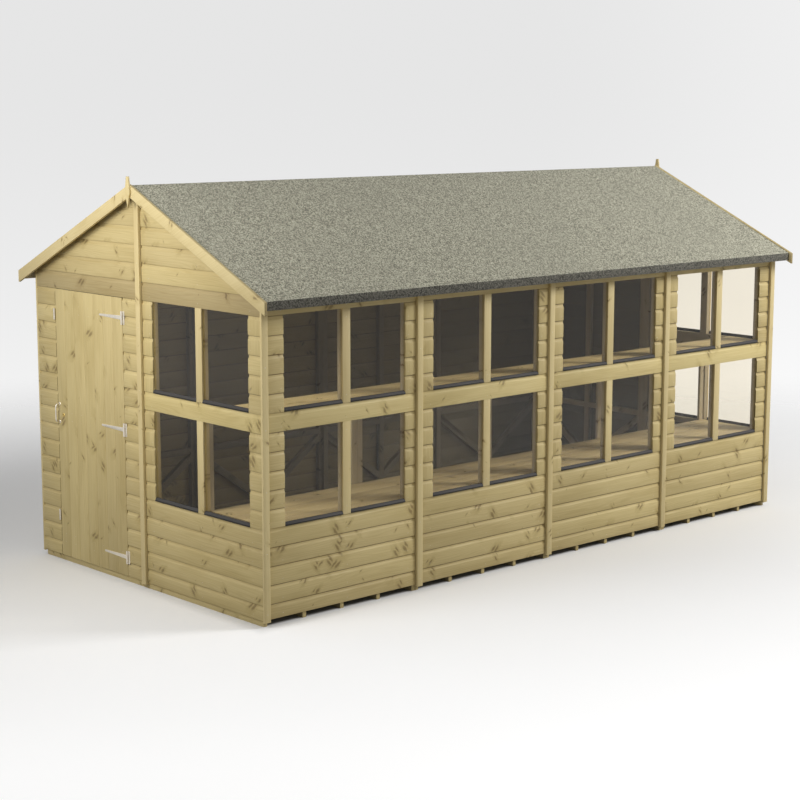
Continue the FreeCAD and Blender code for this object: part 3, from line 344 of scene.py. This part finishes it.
def board_tops(bm):
    """The corners of every board, as wide as its upper edge."""
    tops = []
    for faces in loose_sticks(bm):
        spots = [v.co for f in faces for v in f.verts]
        top = max(p.z for p in spots)
        thick = [(min(p[k] for p in spots), max(p[k] for p in spots)) for k in range(2)]
        along = 0 if thick[0][1] - thick[0][0] > thick[1][1] - thick[1][0] else 1
        upper = [p[along] for p in spots if p.z > top - 0.002]
        thick[along] = (min(upper), max(upper))
        if thick[along][1] - thick[along][0] > 0.03:
            tops.append(((thick[0][0], thick[1][0], top), (thick[0][1], thick[1][1], top)))
    return sorted(tops)


def cut_hollow(bm):
    """Draw the hollow along each board's top in to a crisp lower lip, as the cutter leaves it."""
    lip, floor, back = (0.0, 0.032), (0.006, 0.016), (0.008, 0.0)
    crisp = {lip: (0.0, 0.0245), floor: (0.0060, 0.0145), back: (0.0066, 0.0)}
    for faces in loose_sticks(bm):
        verts = {v for f in faces for v in f.verts}
        top = max(v.co.z for v in verts)
        spans = [max(v.co[k] for v in verts) - min(v.co[k] for v in verts) for k in range(2)]
        flat = 0 if spans[0] < spans[1] else 1
        outer = max((v.co[flat] for v in verts), key=abs)
        side = math.copysign(1.0, outer)
        for v in verts:
            sunk, below = abs(outer - v.co[flat]), top - v.co.z
            for (old_sunk, old_below), (new_sunk, new_below) in crisp.items():
                if abs(sunk - old_sunk) < 0.0004 and abs(below - old_below) < 0.0004:
                    v.co[flat], v.co.z = outer - side * new_sunk, top - new_below


def dress_timber(node, finish, slot, ease=0.0012):
    """Replace a timber node by a copy with eased edges and marked grain."""
    bm = clean_copy(node)
    is_wall = "panel_boards" in node or "side_boards" in node
    tops = board_tops(bm) if is_wall else []
    if is_wall:
        cut_hollow(bm)
    ease_edges(bm, 0.002, 2, 5.0, 38.0)
    ease_edges(bm, ease, 2, 38.0)
    add_tongues(bm, tops)
    bm.faces.ensure_lookup_table()
    bm.faces.index_update()
    fresh = 0.15 if node == "floor_joists" else 1.0
    # Painted shade: the joists' sides and the frames behind the plain walls are darkened as if in shade.
    shaded = 0.9 if node == "floor_joists" else 0.85 if "plain" in node and "frame" in node else 0.0
    sticks = mark_grain(bm, node, is_wall, fresh, shaded)
    made = piece(node + "_planed", bm, finish, body_of_node[node], slot)
    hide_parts(node)
    return sticks


# %% Dress every timber node
timber_slots = {"cladding_timber": cladding_pine, "pale_trim_timber": trim_pine,
                "framing_timber": frame_pine, "inside_boards": inside_pine}
paler = {"floor_joists": cladding_pine, "shelf_boards": trim_pine, "front_window_panel_frame": cladding_pine,
         "door_ledges": cladding_pine, "door_braces": cladding_pine,
         "mullion_covers": trim_pine, "side_cover_strips": trim_pine,
         "gable_cover_strips": trim_pine, "corner_strips": trim_pine}
stick_count = 0
for part in frame["record"]["subparts"]:
    node, slot = part["node"], part["material_slot"]
    if slot in timber_slots:
        stick_count += dress_timber(node, paler.get(node, timber_slots[slot]), slot)
print(stick_count, "sticks of timber dressed")

# %% [markdown]
# ## Roofing felt
# Mineral felt is a bitumen sheet rolled in crushed slate. From a few metres it is a grey-green
# speckle; at the eave the sheet folds down and shows a darker strip. Two scales of cells make the
# grit, and a fold attribute on the faces darkens the part that hangs.


# %% Felt finish and roof sheets
def felt(name):
    """Grey-green mineral felt with a darker turned-down edge."""
    finish, tree, shader = new_finish(name, 0.92)
    place = add(tree, "TexCoord").outputs["Object"]
    fold = add(tree, "Attribute", attribute_name="fold").outputs["Fac"]
    grit = add(tree, "TexVoronoi", {"Vector": place, "Scale": 170.0})
    shade = add(tree, "SeparateColor", {"Color": grit.outputs["Color"]}).outputs[0]
    clump = add(tree, "TexNoise", {"Vector": place, "Scale": 70.0, "Detail": 4.0, "Roughness": 0.7}).outputs["Fac"]
    wash = add(tree, "TexNoise", {"Vector": place, "Scale": 1.3, "Detail": 2.0}).outputs["Fac"]
    mixed = reckon(tree, "MULTIPLY_ADD", shade, 0.5, reckon(tree, "MULTIPLY", clump, 0.5))
    speck = spread(tree, mixed, 0.28, 0.74)
    grey = tint(tree, speck, (0.140, 0.136, 0.101, 1.0), (0.560, 0.541, 0.418, 1.0))
    grey = tint(tree, spread(tree, wash, 0.4, 0.7, 0.0, 0.2), grey, (0.300, 0.292, 0.225, 1.0))
    hanging = tint(tree, speck, (0.034, 0.032, 0.026, 1.0), (0.178, 0.169, 0.136, 1.0))
    tree.links.new(tint(tree, fold, grey, hanging), shader.inputs["Base Color"])
    bump = add(tree, "Bump", {"Height": mixed, "Strength": 0.6, "Distance": 0.002})
    tree.links.new(bump.outputs["Normal"], shader.inputs["Normal"])
    return finish


roofing = felt("mineral_felt")
for node in ("roofing_felt_left", "roofing_felt_right"):
    bm = clean_copy(node)
    ease_edges(bm, 0.0012, 2)
    fold = bm.faces.layers.float.new("fold")
    for face in bm.faces:
        face[fold] = 1.0 if abs(face.normal.z) < 0.6 else 0.0
    sheet = piece(node + "_laid", bm, roofing, "shed", "roofing_felt")
    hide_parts(node)
    print(sheet.name, len(sheet.data.polygons), "faces")

# %% [markdown]
# ## Glass and the dark strips below it
# The panes are clear horticultural glass, so the CAD solids stay and only the finish changes. A pane
# is a real 4 mm sheet with two faces, which lets the shader bend light in and out again. The strips
# at the foot of each pane are black extrusions with a soft sheen.

# %% Glass
glass, tree, shader = new_finish("clear_glass", 0.0, ior=1.25, transmission=1.0)
passing = add(tree, "BsdfTransparent", {"Color": (0.97, 0.95, 0.91, 1.0)}).outputs["BSDF"]
rays = add(tree, "LightPath")
lit = reckon(tree, "MAXIMUM", rays.outputs["Is Shadow Ray"], rays.outputs["Is Diffuse Ray"])
pane = add(tree, "MixShader", {0: lit, 1: shader.outputs["BSDF"], 2: passing}).outputs["Shader"]
tree.links.new(pane, tree.nodes["Material Output"].inputs["Surface"])
place = add(tree, "TexCoord").outputs["Object"]
dust = add(tree, "TexNoise", {"Vector": place, "Scale": 2.0, "Detail": 4.0}).outputs["Fac"]
tree.links.new(tint(tree, spread(tree, dust, 0.4, 0.8), (0.995, 0.960, 0.88, 1.0), (0.975, 0.940, 0.86, 1.0)),
               shader.inputs["Base Color"])
panes = frame["nodes"]["window_panes"]
panes.data.materials.clear()
panes.data.materials.append(glass)
print("panes:", len(panes.data.polygons) // 12)

# %% Sill strips
strip_black, tree, shader = new_finish("strip_black", 0.55)
shader.inputs["Specular IOR Level"].default_value = 0.2
place = add(tree, "TexCoord").outputs["Object"]
scuff = add(tree, "TexNoise", {"Vector": place, "Scale": 60.0, "Detail": 4.0}).outputs["Fac"]
slope = add(tree, "Attribute", attribute_name="slope").outputs["Fac"]
edge_black = tint(tree, scuff, (0.012, 0.011, 0.011, 1.0), (0.030, 0.028, 0.026, 1.0))
# Painted highlight: the sloping faces of the strips are a lighter grey than the rest, as if catching the light.
painted_sheen_grey = tint(tree, scuff, (0.048, 0.045, 0.043, 1.0), (0.088, 0.083, 0.079, 1.0))
tree.links.new(tint(tree, slope, edge_black, painted_sheen_grey), shader.inputs["Base Color"])
tree.links.new(spread(tree, scuff, 0.3, 0.7, 0.45, 0.65), shader.inputs["Roughness"])
bm = clean_copy("window_sills")
ease_edges(bm, 0.0015, 2)
# Faces that slope upwards are marked for the painted highlight.
slope = bm.faces.layers.float.new("slope")
for face in bm.faces:
    face[slope] = 1.0 if 0.25 < face.normal.z < 0.93 and face.calc_area() > 0.002 else 0.0
strips = piece("window_sills_drawn", bm, strip_black, "shed", "black_sill")
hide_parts("window_sills")
print(strips.name, len(strips.data.polygons), "faces")

# %% [markdown]
# ## Ironwork
# Hinges, handle and turn buttons are bright galvanised steel, the lock cylinder is brass and the
# rim lock inside is black enamel. Zinc shows faint crystals, so its roughness and colour come from
# cells a few millimetres wide.


# %% Metal finishes
def metal(name, colour, roughness, cell, flake):
    """A metal whose colour and roughness vary from crystal to crystal."""
    finish, tree, shader = new_finish(name, roughness, metallic=1.0)
    place = add(tree, "TexCoord").outputs["Object"]
    crystal = add(tree, "TexVoronoi", {"Vector": place, "Scale": cell}).outputs["Color"]
    shade = add(tree, "SeparateColor", {"Color": crystal}).outputs[0]
    wear = add(tree, "TexNoise", {"Vector": place, "Scale": cell * 0.4, "Detail": 5.0}).outputs["Fac"]
    low = tuple(c * (1.0 - flake) for c in colour)
    base = tint(tree, shade, (*low, 1.0), (*colour, 1.0))
    tree.links.new(base, shader.inputs["Base Color"])
    tree.links.new(spread(tree, wear, 0.3, 0.7, roughness - 0.08, roughness + 0.12), shader.inputs["Roughness"])
    bump = add(tree, "Bump", {"Height": wear, "Strength": 0.12, "Distance": 0.0005})
    tree.links.new(bump.outputs["Normal"], shader.inputs["Normal"])
    return finish


zinc = metal("bright_zinc", (0.82, 0.765, 0.665), 0.36, 140.0, 0.12)
brass = metal("lock_brass", (0.78, 0.58, 0.20), 0.28, 300.0, 0.12)
enamel, tree, shader = new_finish("black_enamel", 0.3)
place = add(tree, "TexCoord").outputs["Object"]
peel = add(tree, "TexNoise", {"Vector": place, "Scale": 400.0, "Detail": 3.0}).outputs["Fac"]
tree.links.new(tint(tree, peel, (0.020, 0.020, 0.021, 1.0), (0.045, 0.044, 0.043, 1.0)), shader.inputs["Base Color"])
tree.links.new(spread(tree, peel, 0.3, 0.7, 0.24, 0.4), shader.inputs["Roughness"])
plug = frame["nodes"]["lock_plug"]
plug.data.materials.clear()
plug.data.materials.append(brass)
print("metals:", ", ".join(m.name for m in (zinc, brass, enamel)))

# %% [markdown]
# Most ironwork is turned or pressed. Turned work is a profile spun about an axis, so one helper draws
# the profile as (radius, height) points and spins it. Pressed work is an outline given a thickness,
# with its front edge rounded. A cross-head screw starts as a small grid bent into a disc and domed,
# whose middle row and column are then pushed in to make the recess.


# %% Turned, pressed and screwed work
def turned(bm, profile, centre, axis, steps=24, closed=False):
    """Spin a profile of (radius, height) points about an axis."""
    centre, axis = Vector(centre), Vector(axis)
    side = axis.orthogonal().normalized()
    verts = [bm.verts.new(centre + side * r + axis * h) for r, h in profile]
    ends = verts[1:] + verts[:1] if closed else verts[1:]
    edges = [bm.edges.new(pair) for pair in zip(verts, ends)]
    bmesh.ops.spin(bm, geom=verts + edges, cent=centre, axis=axis, angle=2 * math.pi, steps=steps, use_merge=True)


def pressed(bm, outline, front, thickness, round_over):
    """A plate standing on a plane of constant y: an outline in x and z, rounded at its front edge."""
    face = bm.faces.new([bm.verts.new((x, front + thickness, z)) for x, z in outline])
    raised = bmesh.ops.extrude_face_region(bm, geom=[face])["geom"]
    verts = [v for v in raised if isinstance(v, bmesh.types.BMVert)]
    bmesh.ops.translate(bm, verts=verts, vec=(0.0, -thickness, 0.0))
    rim = [e for e in raised if isinstance(e, bmesh.types.BMEdge)]
    bmesh.ops.bevel(bm, geom=rim, offset=round_over, offset_type="OFFSET", segments=3, profile=0.5,
                    affect="EDGES", clamp_overlap=True, material=-1)


def screw_head(bm, place, outward, radius):
    """A domed cross-head screw, seated on a plane."""
    lines = [radius * share for share in (-1.0, -0.6, -0.15, 0.15, 0.6, 1.0)]
    turn = Vector(outward).to_track_quat("Z", "Y").to_matrix().to_4x4()
    seat = Matrix.Translation(Vector(place)) @ turn
    grid = {}
    for i, u in enumerate(lines):
        for j, v in enumerate(lines):
            reach = max(abs(u), abs(v))
            bent = Vector((u, v, 0.0))
            if reach > 0.99 * radius:
                bent *= radius / bent.length
            bent.z = 0.3 * radius * (1.0 - (bent.length / radius) ** 2) + 0.05 * radius
            grid[i, j] = bm.verts.new(seat @ bent)
    faces = {(i, j): bm.faces.new([grid[i, j], grid[i + 1, j], grid[i + 1, j + 1], grid[i, j + 1]])
             for i in range(5) for j in range(5)}
    cross = [faces[spot] for spot in ((2, 1), (2, 2), (2, 3), (1, 2), (3, 2))]
    sunk = bmesh.ops.extrude_face_region(bm, geom=cross)["geom"]
    verts = [v for v in sunk if isinstance(v, bmesh.types.BMVert)]
    bmesh.ops.translate(bm, verts=verts, vec=Vector(outward) * -0.3 * radius)
    bmesh.ops.delete(bm, geom=cross, context="FACES_ONLY")
    rim = [e for f in faces.values() if f.is_valid for e in f.edges if e.is_boundary]
    skirt = bmesh.ops.extrude_edge_only(bm, edges=list(set(rim)))["geom"]
    verts = [v for v in skirt if isinstance(v, bmesh.types.BMVert)]
    bmesh.ops.translate(bm, verts=verts, vec=Vector(outward) * -0.1 * radius)


def close_up(bm):
    """Merge the seams that spinning leaves and turn every face outward."""
    bmesh.ops.remove_doubles(bm, verts=bm.verts, dist=0.000001)
    bmesh.ops.recalc_face_normals(bm, faces=bm.faces)


# %% [markdown]
# ## Strap hinges
# A long tapering strap is screwed to the door and a short plate to the wall. The middle knuckle is
# rolled from the strap, the outer two from the plate, and the pin runs through all three. The door
# turns about that pin, so strap and plate are separate pieces on separate bodies.

# %% Hinges
FACE = -2.45
HINGE_X, PIN_Y = -0.1975, FACE - 0.0063
HINGE_HEIGHTS = (0.164, 0.997, 1.714)
OUT, UP = Vector((0.0, -1.0, 0.0)), Vector((0.0, 0.0, 1.0))


def knuckle(bm, low, high):
    """A rolled sleeve about the pin."""
    lip = 0.0006
    turned(bm, ((0.00355, low), (0.006 - lip, low), (0.006, low + lip), (0.006, high - lip), (0.006 - lip, high),
                (0.00355, high)), (HINGE_X, PIN_Y, 0.0), UP, 24, True)


straps, plates = bmesh.new(), bmesh.new()
for height in HINGE_HEIGHTS:
    tip = [(HINGE_X - 0.2535 + 0.0065 * math.cos(a), height + 0.0065 * math.sin(a))
           for a in (math.pi * (0.5 + k / 8) for k in range(9))]
    shank = [(HINGE_X, height - 0.0137), (HINGE_X, height + 0.0137)]
    pressed(straps, shank + tip, FACE - 0.0025, 0.0025, 0.0008)
    knuckle(straps, height - 0.014, height + 0.014)
    for reach in (0.034, 0.096, 0.165, 0.232):
        screw_head(straps, (HINGE_X - reach, FACE - 0.0025, height), OUT, 0.0036)
    notch = [(0.0, 0.0143), (0.0072, 0.0143), (0.0072, -0.0143), (0.0, -0.0143)]
    edge = [(0.0, -0.043), (0.022, -0.043), (0.0248, -0.0418), (0.026, -0.039)]
    around = notch + edge + [(x, -z) for x, z in reversed(edge)]
    pressed(plates, [(HINGE_X + x, height + z) for x, z in around], FACE - 0.0025, 0.0025, 0.0006)
    knuckle(plates, height - 0.043, height - 0.0143)
    knuckle(plates, height + 0.0143, height + 0.043)
    turned(plates, ((0.0, -0.0430), (0.0026, -0.0428), (0.0035, -0.0420), (0.0035, 0.0420), (0.0026, 0.0428),
                    (0.0, 0.0430)), (HINGE_X, PIN_Y, height), UP, 20)
    for rise in (-0.031, 0.0, 0.031):
        screw_head(plates, (HINGE_X + 0.0165, FACE - 0.0025, height + rise), OUT, 0.0036)
for name, bm, body, node in (("hinge_straps_pressed", straps, "door", "hinge_straps"),
                             ("hinge_plates_pressed", plates, "shed", "hinge_plates")):
    close_up(bm)
    made = piece(name, bm, zinc, body, "galvanised_steel")
    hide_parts(node)
    print(made.name, len(made.data.polygons), "faces")

# %% [markdown]
# ## Door handle and lock
# The pull is a round rod bent at two corners, standing on two dished feet. A ring of edges is drawn
# out along the rod and spun round each bend. The lock shows a brass flange in front of the door and
# a black case behind it; case, bolt and keep keep their CAD shape with softened edges.

# %% Handle
HANDLE_X, HANDLE_LOW, HANDLE_HIGH = -0.961, 0.952, 1.072
bm = bmesh.new()
ring = bmesh.ops.create_circle(bm, cap_ends=False, radius=0.005, segments=20,
                               matrix=Matrix.Translation((HANDLE_X, FACE, HANDLE_HIGH)) @ Matrix.Rotation(math.pi / 2, 4, "X"))
rim = list({e for v in ring["verts"] for e in v.link_edges})


def draw_out(edges, step):
    """Lengthen a tube by one straight step and return its new end."""
    drawn = bmesh.ops.extrude_edge_only(bm, edges=edges)["geom"]
    bmesh.ops.translate(bm, verts=[v for v in drawn if isinstance(v, bmesh.types.BMVert)], vec=step)
    return [e for e in drawn if isinstance(e, bmesh.types.BMEdge)]


def bend_round(edges, centre, angle):
    """Bend a tube round a corner and return its new end."""
    verts = list({v for e in edges for v in e.verts})
    bent = bmesh.ops.spin(bm, geom=verts + edges, cent=centre, axis=(1.0, 0.0, 0.0), angle=angle, steps=10)
    return [e for e in bent["geom_last"] if isinstance(e, bmesh.types.BMEdge)]


rim = draw_out(rim, (0.0, -0.010, 0.0))
rim = bend_round(rim, (HANDLE_X, FACE - 0.010, HANDLE_HIGH - 0.020), math.pi / 2)
rim = draw_out(rim, (0.0, 0.0, HANDLE_LOW - HANDLE_HIGH + 0.040))
rim = bend_round(rim, (HANDLE_X, FACE - 0.010, HANDLE_LOW + 0.020), math.pi / 2)
rim = draw_out(rim, (0.0, 0.010, 0.0))
for height in (HANDLE_LOW, HANDLE_HIGH):
    turned(bm, ((0.0, 0.0022), (0.007, 0.0025), (0.0098, 0.0020), (0.011, 0.0008), (0.011, 0.0)),
           (HANDLE_X, FACE, height), OUT, 28)
close_up(bm)
handle = piece("door_handle_bent", bm, zinc, "door", "galvanised_steel")
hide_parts("door_handle")
print(handle.name, [round(v, 4) for v in handle.dimensions])

# %% Lock
LOCK_SPOT = (-0.915, FACE, 1.002)
bm = bmesh.new()
turned(bm, ((0.0062, 0.0022), (0.0068, 0.0025), (0.0114, 0.0025), (0.0125, 0.0014), (0.0125, 0.0), (0.011, 0.0),
            (0.011, -0.0385), (0.0062, -0.0385)), LOCK_SPOT, OUT, 40, True)
close_up(bm)
flange = piece("lock_cylinder_turned", bm, brass, "door", "lock_brass")
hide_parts("lock_cylinder")
for node, body in (("lock_case", "door"), ("lock_bolt", "lock_bolt"), ("lock_keep", "shed")):
    bm = clean_copy(node)
    ease_edges(bm, 0.0006, 2)
    if node == "lock_case":
        low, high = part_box(node)
        for x in (low[0] + 0.007, high[0] - 0.007):
            for z in (low[2] + 0.007, high[2] - 0.007):
                screw_head(bm, (x, high[1], z), -OUT, 0.0034)
    made = piece(node + "_enamelled", bm, enamel, body, "lock_steel")
    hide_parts(node)
    print(made.name, len(made.data.polygons), "faces")

# %% [markdown]
# ## Turn buttons
# Each button is a small cast bar that swings over the door's edge. Its edges are rounded well over,
# and the pivot is a screw with a washer below the bar, so bar and screw are separate pieces.

# %% Turn buttons and their screws
pivots = bmesh.new()
for node in ("turn_button_high", "turn_button_low"):
    bm = clean_copy(node)
    ease_edges(bm, 0.0016, 3)
    made = piece(node + "_cast", bm, zinc, node, "galvanised_steel")
    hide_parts(node)
    low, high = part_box(node)
    spot = Vector(((low[0] + high[0]) / 2, FACE, (low[2] + high[2]) / 2))
    turned(pivots, ((0.0, 0.0067), (0.0025, 0.0067), (0.0025, 0.0007), (0.0065, 0.0007), (0.0065, 0.0), (0.0, 0.0)),
           spot, OUT, 20)
    turned(pivots, ((0.0025, 0.0063), (0.0050, 0.0063), (0.0055, 0.0067), (0.0053, 0.0072)), spot, OUT, 20)
    screw_head(pivots, spot + OUT * 0.0072, OUT, 0.0053)
close_up(pivots)
made = piece("turn_button_screws", pivots, zinc, "shed", "galvanised_steel")
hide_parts("turn_button_pivots")
print(made.name, len(made.data.polygons), "faces")

# %% [markdown]
# ## Nails
# Every board is nailed where it crosses an upright of the frame behind it, and every cover strip is
# nailed down its middle. The places are read from the timber itself: the box of each stick says
# which are uprights and which boards pass in front of them.


# %% Find the sticks
def stick_boxes(node):
    """The low and high corners of every stick in a CAD node."""
    bm = clean_copy(node)
    boxes = []
    for faces in loose_sticks(bm):
        spots = [v.co for f in faces for v in f.verts]
        boxes.append(([min(p[k] for p in spots) for k in range(3)], [max(p[k] for p in spots) for k in range(3)]))
    bm.free()
    return sorted(boxes)


strip_nodes = ("side_cover_strips", "gable_cover_strips", "corner_strips", "mullion_covers")
strip_boxes = [box for node in strip_nodes for box in stick_boxes(node)]
print(len(strip_boxes), "cover strips")


# %% Drive the nails
def nail_head(bm, place, outward, radius):
    """A small domed nail head."""
    turned(bm, ((0.0, 0.0005), (0.6 * radius, 0.0004), (radius, 0.0001), (radius, -0.0003)), place, outward, 8)


def under_strip(place):
    """True where a cover strip hides a place on the wall."""
    return any(all(low[k] - 0.004 < place[k] < high[k] + 0.004 for k in range(3)) for low, high in strip_boxes)


walls = {"front_door_panel": OUT, "front_window_panel": OUT, "rear_plain_panel": -OUT, "rear_window_panel": -OUT}
for number in "1234":
    walls["window_side_%s_" + number] = Vector((1.0, 0.0, 0.0))
    walls["plain_side_%s_" + number] = Vector((-1.0, 0.0, 0.0))
bm = bmesh.new()
nail_count = 0
for wall, outward in walls.items():
    names = [wall % kind if "%" in wall else wall + "_" + kind for kind in ("boards", "frame")]
    level = 2.45 if outward.y else 1.2
    along = 0 if outward.y else 1
    uprights = [(low[along] + high[along]) / 2 for low, high in stick_boxes(names[1])
                if high[2] - low[2] > 0.35 and high[along] - low[along] < 0.06]
    for low, high in stick_boxes(names[0]):
        for line in uprights:
            place = outward * level
            place[along], place.z = line, low[2] + 0.026
            if low[along] + 0.01 < line < high[along] - 0.01 and not under_strip(place):
                nail_head(bm, place, outward, 0.0017)
                nail_count += 1
for low, high in strip_boxes:
    middle = [(low[k] + high[k]) / 2 for k in range(3)]
    on_gable = max(abs(low[1]), abs(high[1])) > 2.4505 and high[1] - low[1] < 0.03
    way = Vector((0.0, math.copysign(1.0, middle[1]), 0.0)) if on_gable else Vector((math.copysign(1.0, middle[0]), 0.0, 0.0))
    face = 1 if on_gable else 0
    place = Vector(middle)
    place[face] = high[face] if middle[face] > 0 else low[face]
    rows = max(2, round((high[2] - low[2]) / 0.42) + 1)
    for row in range(rows):
        place.z = low[2] + 0.05 + (high[2] - low[2] - 0.1) * row / (rows - 1)
        nail_head(bm, place, way, 0.0021)
        nail_count += 1
close_up(bm)
piece("wall_nails", bm, zinc, "shed", "galvanised_steel")
bm = bmesh.new()
for height in HINGE_HEIGHTS:
    for board in range(7):
        for rise in (-0.027, 0.027):
            nail_head(bm, Vector((-0.979 + (board + 0.5) * 0.78 / 7, FACE, height + rise)), OUT, 0.0017)
            nail_count += 1
close_up(bm)
piece("door_nails", bm, zinc, "door", "galvanised_steel")
print(nail_count, "nails")

# %% [markdown]
# ## Studio
# The shed stands on a pale floor that fades into the background, with no wall that would get in the
# way of other views. One large lamp behind the roof lays the soft shadow to the left, a second fills
# the door gable, and the sky fills the rest.

# %% Floor
floor_mesh = bpy.data.meshes.new("studio_floor")
bm = bmesh.new()
bmesh.ops.create_circle(bm, cap_ends=True, radius=16.0, segments=96)
bm.to_mesh(floor_mesh)
bm.free()
floor = bpy.data.objects.new("studio_floor", floor_mesh)
scene.collection.objects.link(floor)
pale, tree, shader = new_finish("pale_floor", 0.9)
place = add(tree, "TexCoord").outputs["Object"]
mottle = add(tree, "TexNoise", {"Vector": place, "Scale": 1.5}).outputs["Fac"]
white = tint(tree, mottle, (0.94, 0.94, 0.94, 1.0), (0.96, 0.96, 0.96, 1.0))
spot = add(tree, "SeparateXYZ", {"Vector": place}).outputs
beside = reckon(tree, "SUBTRACT", reckon(tree, "ABSOLUTE", spot["X"]), 1.2)
before = reckon(tree, "SUBTRACT", reckon(tree, "ABSOLUTE", spot["Y"]), 2.45)
from_wall = reckon(tree, "MAXIMUM", beside, before)
# Painted shadow: the floor under the shed's footprint is darkened to a dark grey.
white = tint(tree, spread(tree, from_wall, -0.05, -0.005), (0.22, 0.22, 0.22, 1.0), white)
rays = add(tree, "LightPath")
seen = reckon(tree, "MAXIMUM", rays.outputs["Is Camera Ray"], rays.outputs["Is Glossy Ray"])
seen = reckon(tree, "MAXIMUM", seen, rays.outputs["Is Transmission Ray"])
tree.links.new(tint(tree, seen, (0.35, 0.35, 0.35, 1.0), white), shader.inputs["Base Color"])
shader.inputs["Emission Color"].default_value = (1.0, 1.0, 1.0, 1.0)
# Painted light: for camera rays the floor glows, more towards the lens and not at all next to the walls.
toward_lens = spread(tree, reckon(tree, "SUBTRACT", spot["X"], spot["Y"]), 0.4, 7.4, 0.0, 0.43)
painted_floor_glow = reckon(tree, "MULTIPLY", toward_lens, spread(tree, from_wall, 0.0, 0.12))
tree.links.new(reckon(tree, "MULTIPLY", seen, painted_floor_glow), shader.inputs["Emission Strength"])
offset = add(tree, "VectorMath", {0: place, 1: (1.9, -1.7, 0.0)}, operation="DISTANCE").outputs["Value"]
fade = spread(tree, offset, 4.5, 11.0)
clear = add(tree, "BsdfTransparent").outputs["BSDF"]
blend = add(tree, "MixShader", {0: fade, 1: shader.outputs["BSDF"], 2: clear})
tree.links.new(blend.outputs["Shader"], tree.nodes["Material Output"].inputs["Surface"])
floor.data.materials.append(pale)
print("floor", tuple(round(v, 1) for v in floor.dimensions))

# %% Sky and lamps
world = bpy.data.worlds.new("studio")
world.use_nodes = True
scene.world = world
tree = world.node_tree
background = tree.nodes["Background"]
background.inputs["Color"].default_value = (1.0, 1.0, 1.0, 1.0)
rays = add(tree, "LightPath")
seen = reckon(tree, "MAXIMUM", rays.outputs["Is Camera Ray"], rays.outputs["Is Glossy Ray"])
seen = reckon(tree, "MAXIMUM", seen, rays.outputs["Is Transmission Ray"])
aim = add(tree, "SeparateXYZ", {"Vector": add(tree, "TexCoord").outputs["Generated"]}).outputs
backdrop = spread(tree, aim["Z"], -0.30, 0.02, 0.96, 0.79)
glow = spread(tree, reckon(tree, "ADD", aim["X"], aim["Y"]), 0.02, 0.30, 0.0, 0.075)
level = add(tree, "Mix", {0: seen, 2: 0.42, 3: reckon(tree, "ADD", backdrop, glow)}).outputs[0]
tree.links.new(level, background.inputs["Strength"])


def lamp(name, place, aim, size, power, beam=180.0):
    """A square lamp that faces a point, with its beam held to an angle in degrees."""
    data = bpy.data.lights.new(name, "AREA")
    data.size = size
    data.energy = power
    data.spread = math.radians(beam)
    made = bpy.data.objects.new(name, data)
    made.location = place
    made.visible_camera = False
    made.rotation_mode = "QUATERNION"
    made.rotation_quaternion = (Vector(aim) - Vector(place)).to_track_quat("-Z", "Y")
    scene.collection.objects.link(made)
    return made


lamp("roof_lamp", (6.5, 6.0, 6.0), (0.3, 0.6, 0.8), 3.0, 540.0)
lamp("gable_lamp", (0.2, -5.6, 3.3), (0.0, -2.4, 1.9), 2.0, 26.0, 80.0)
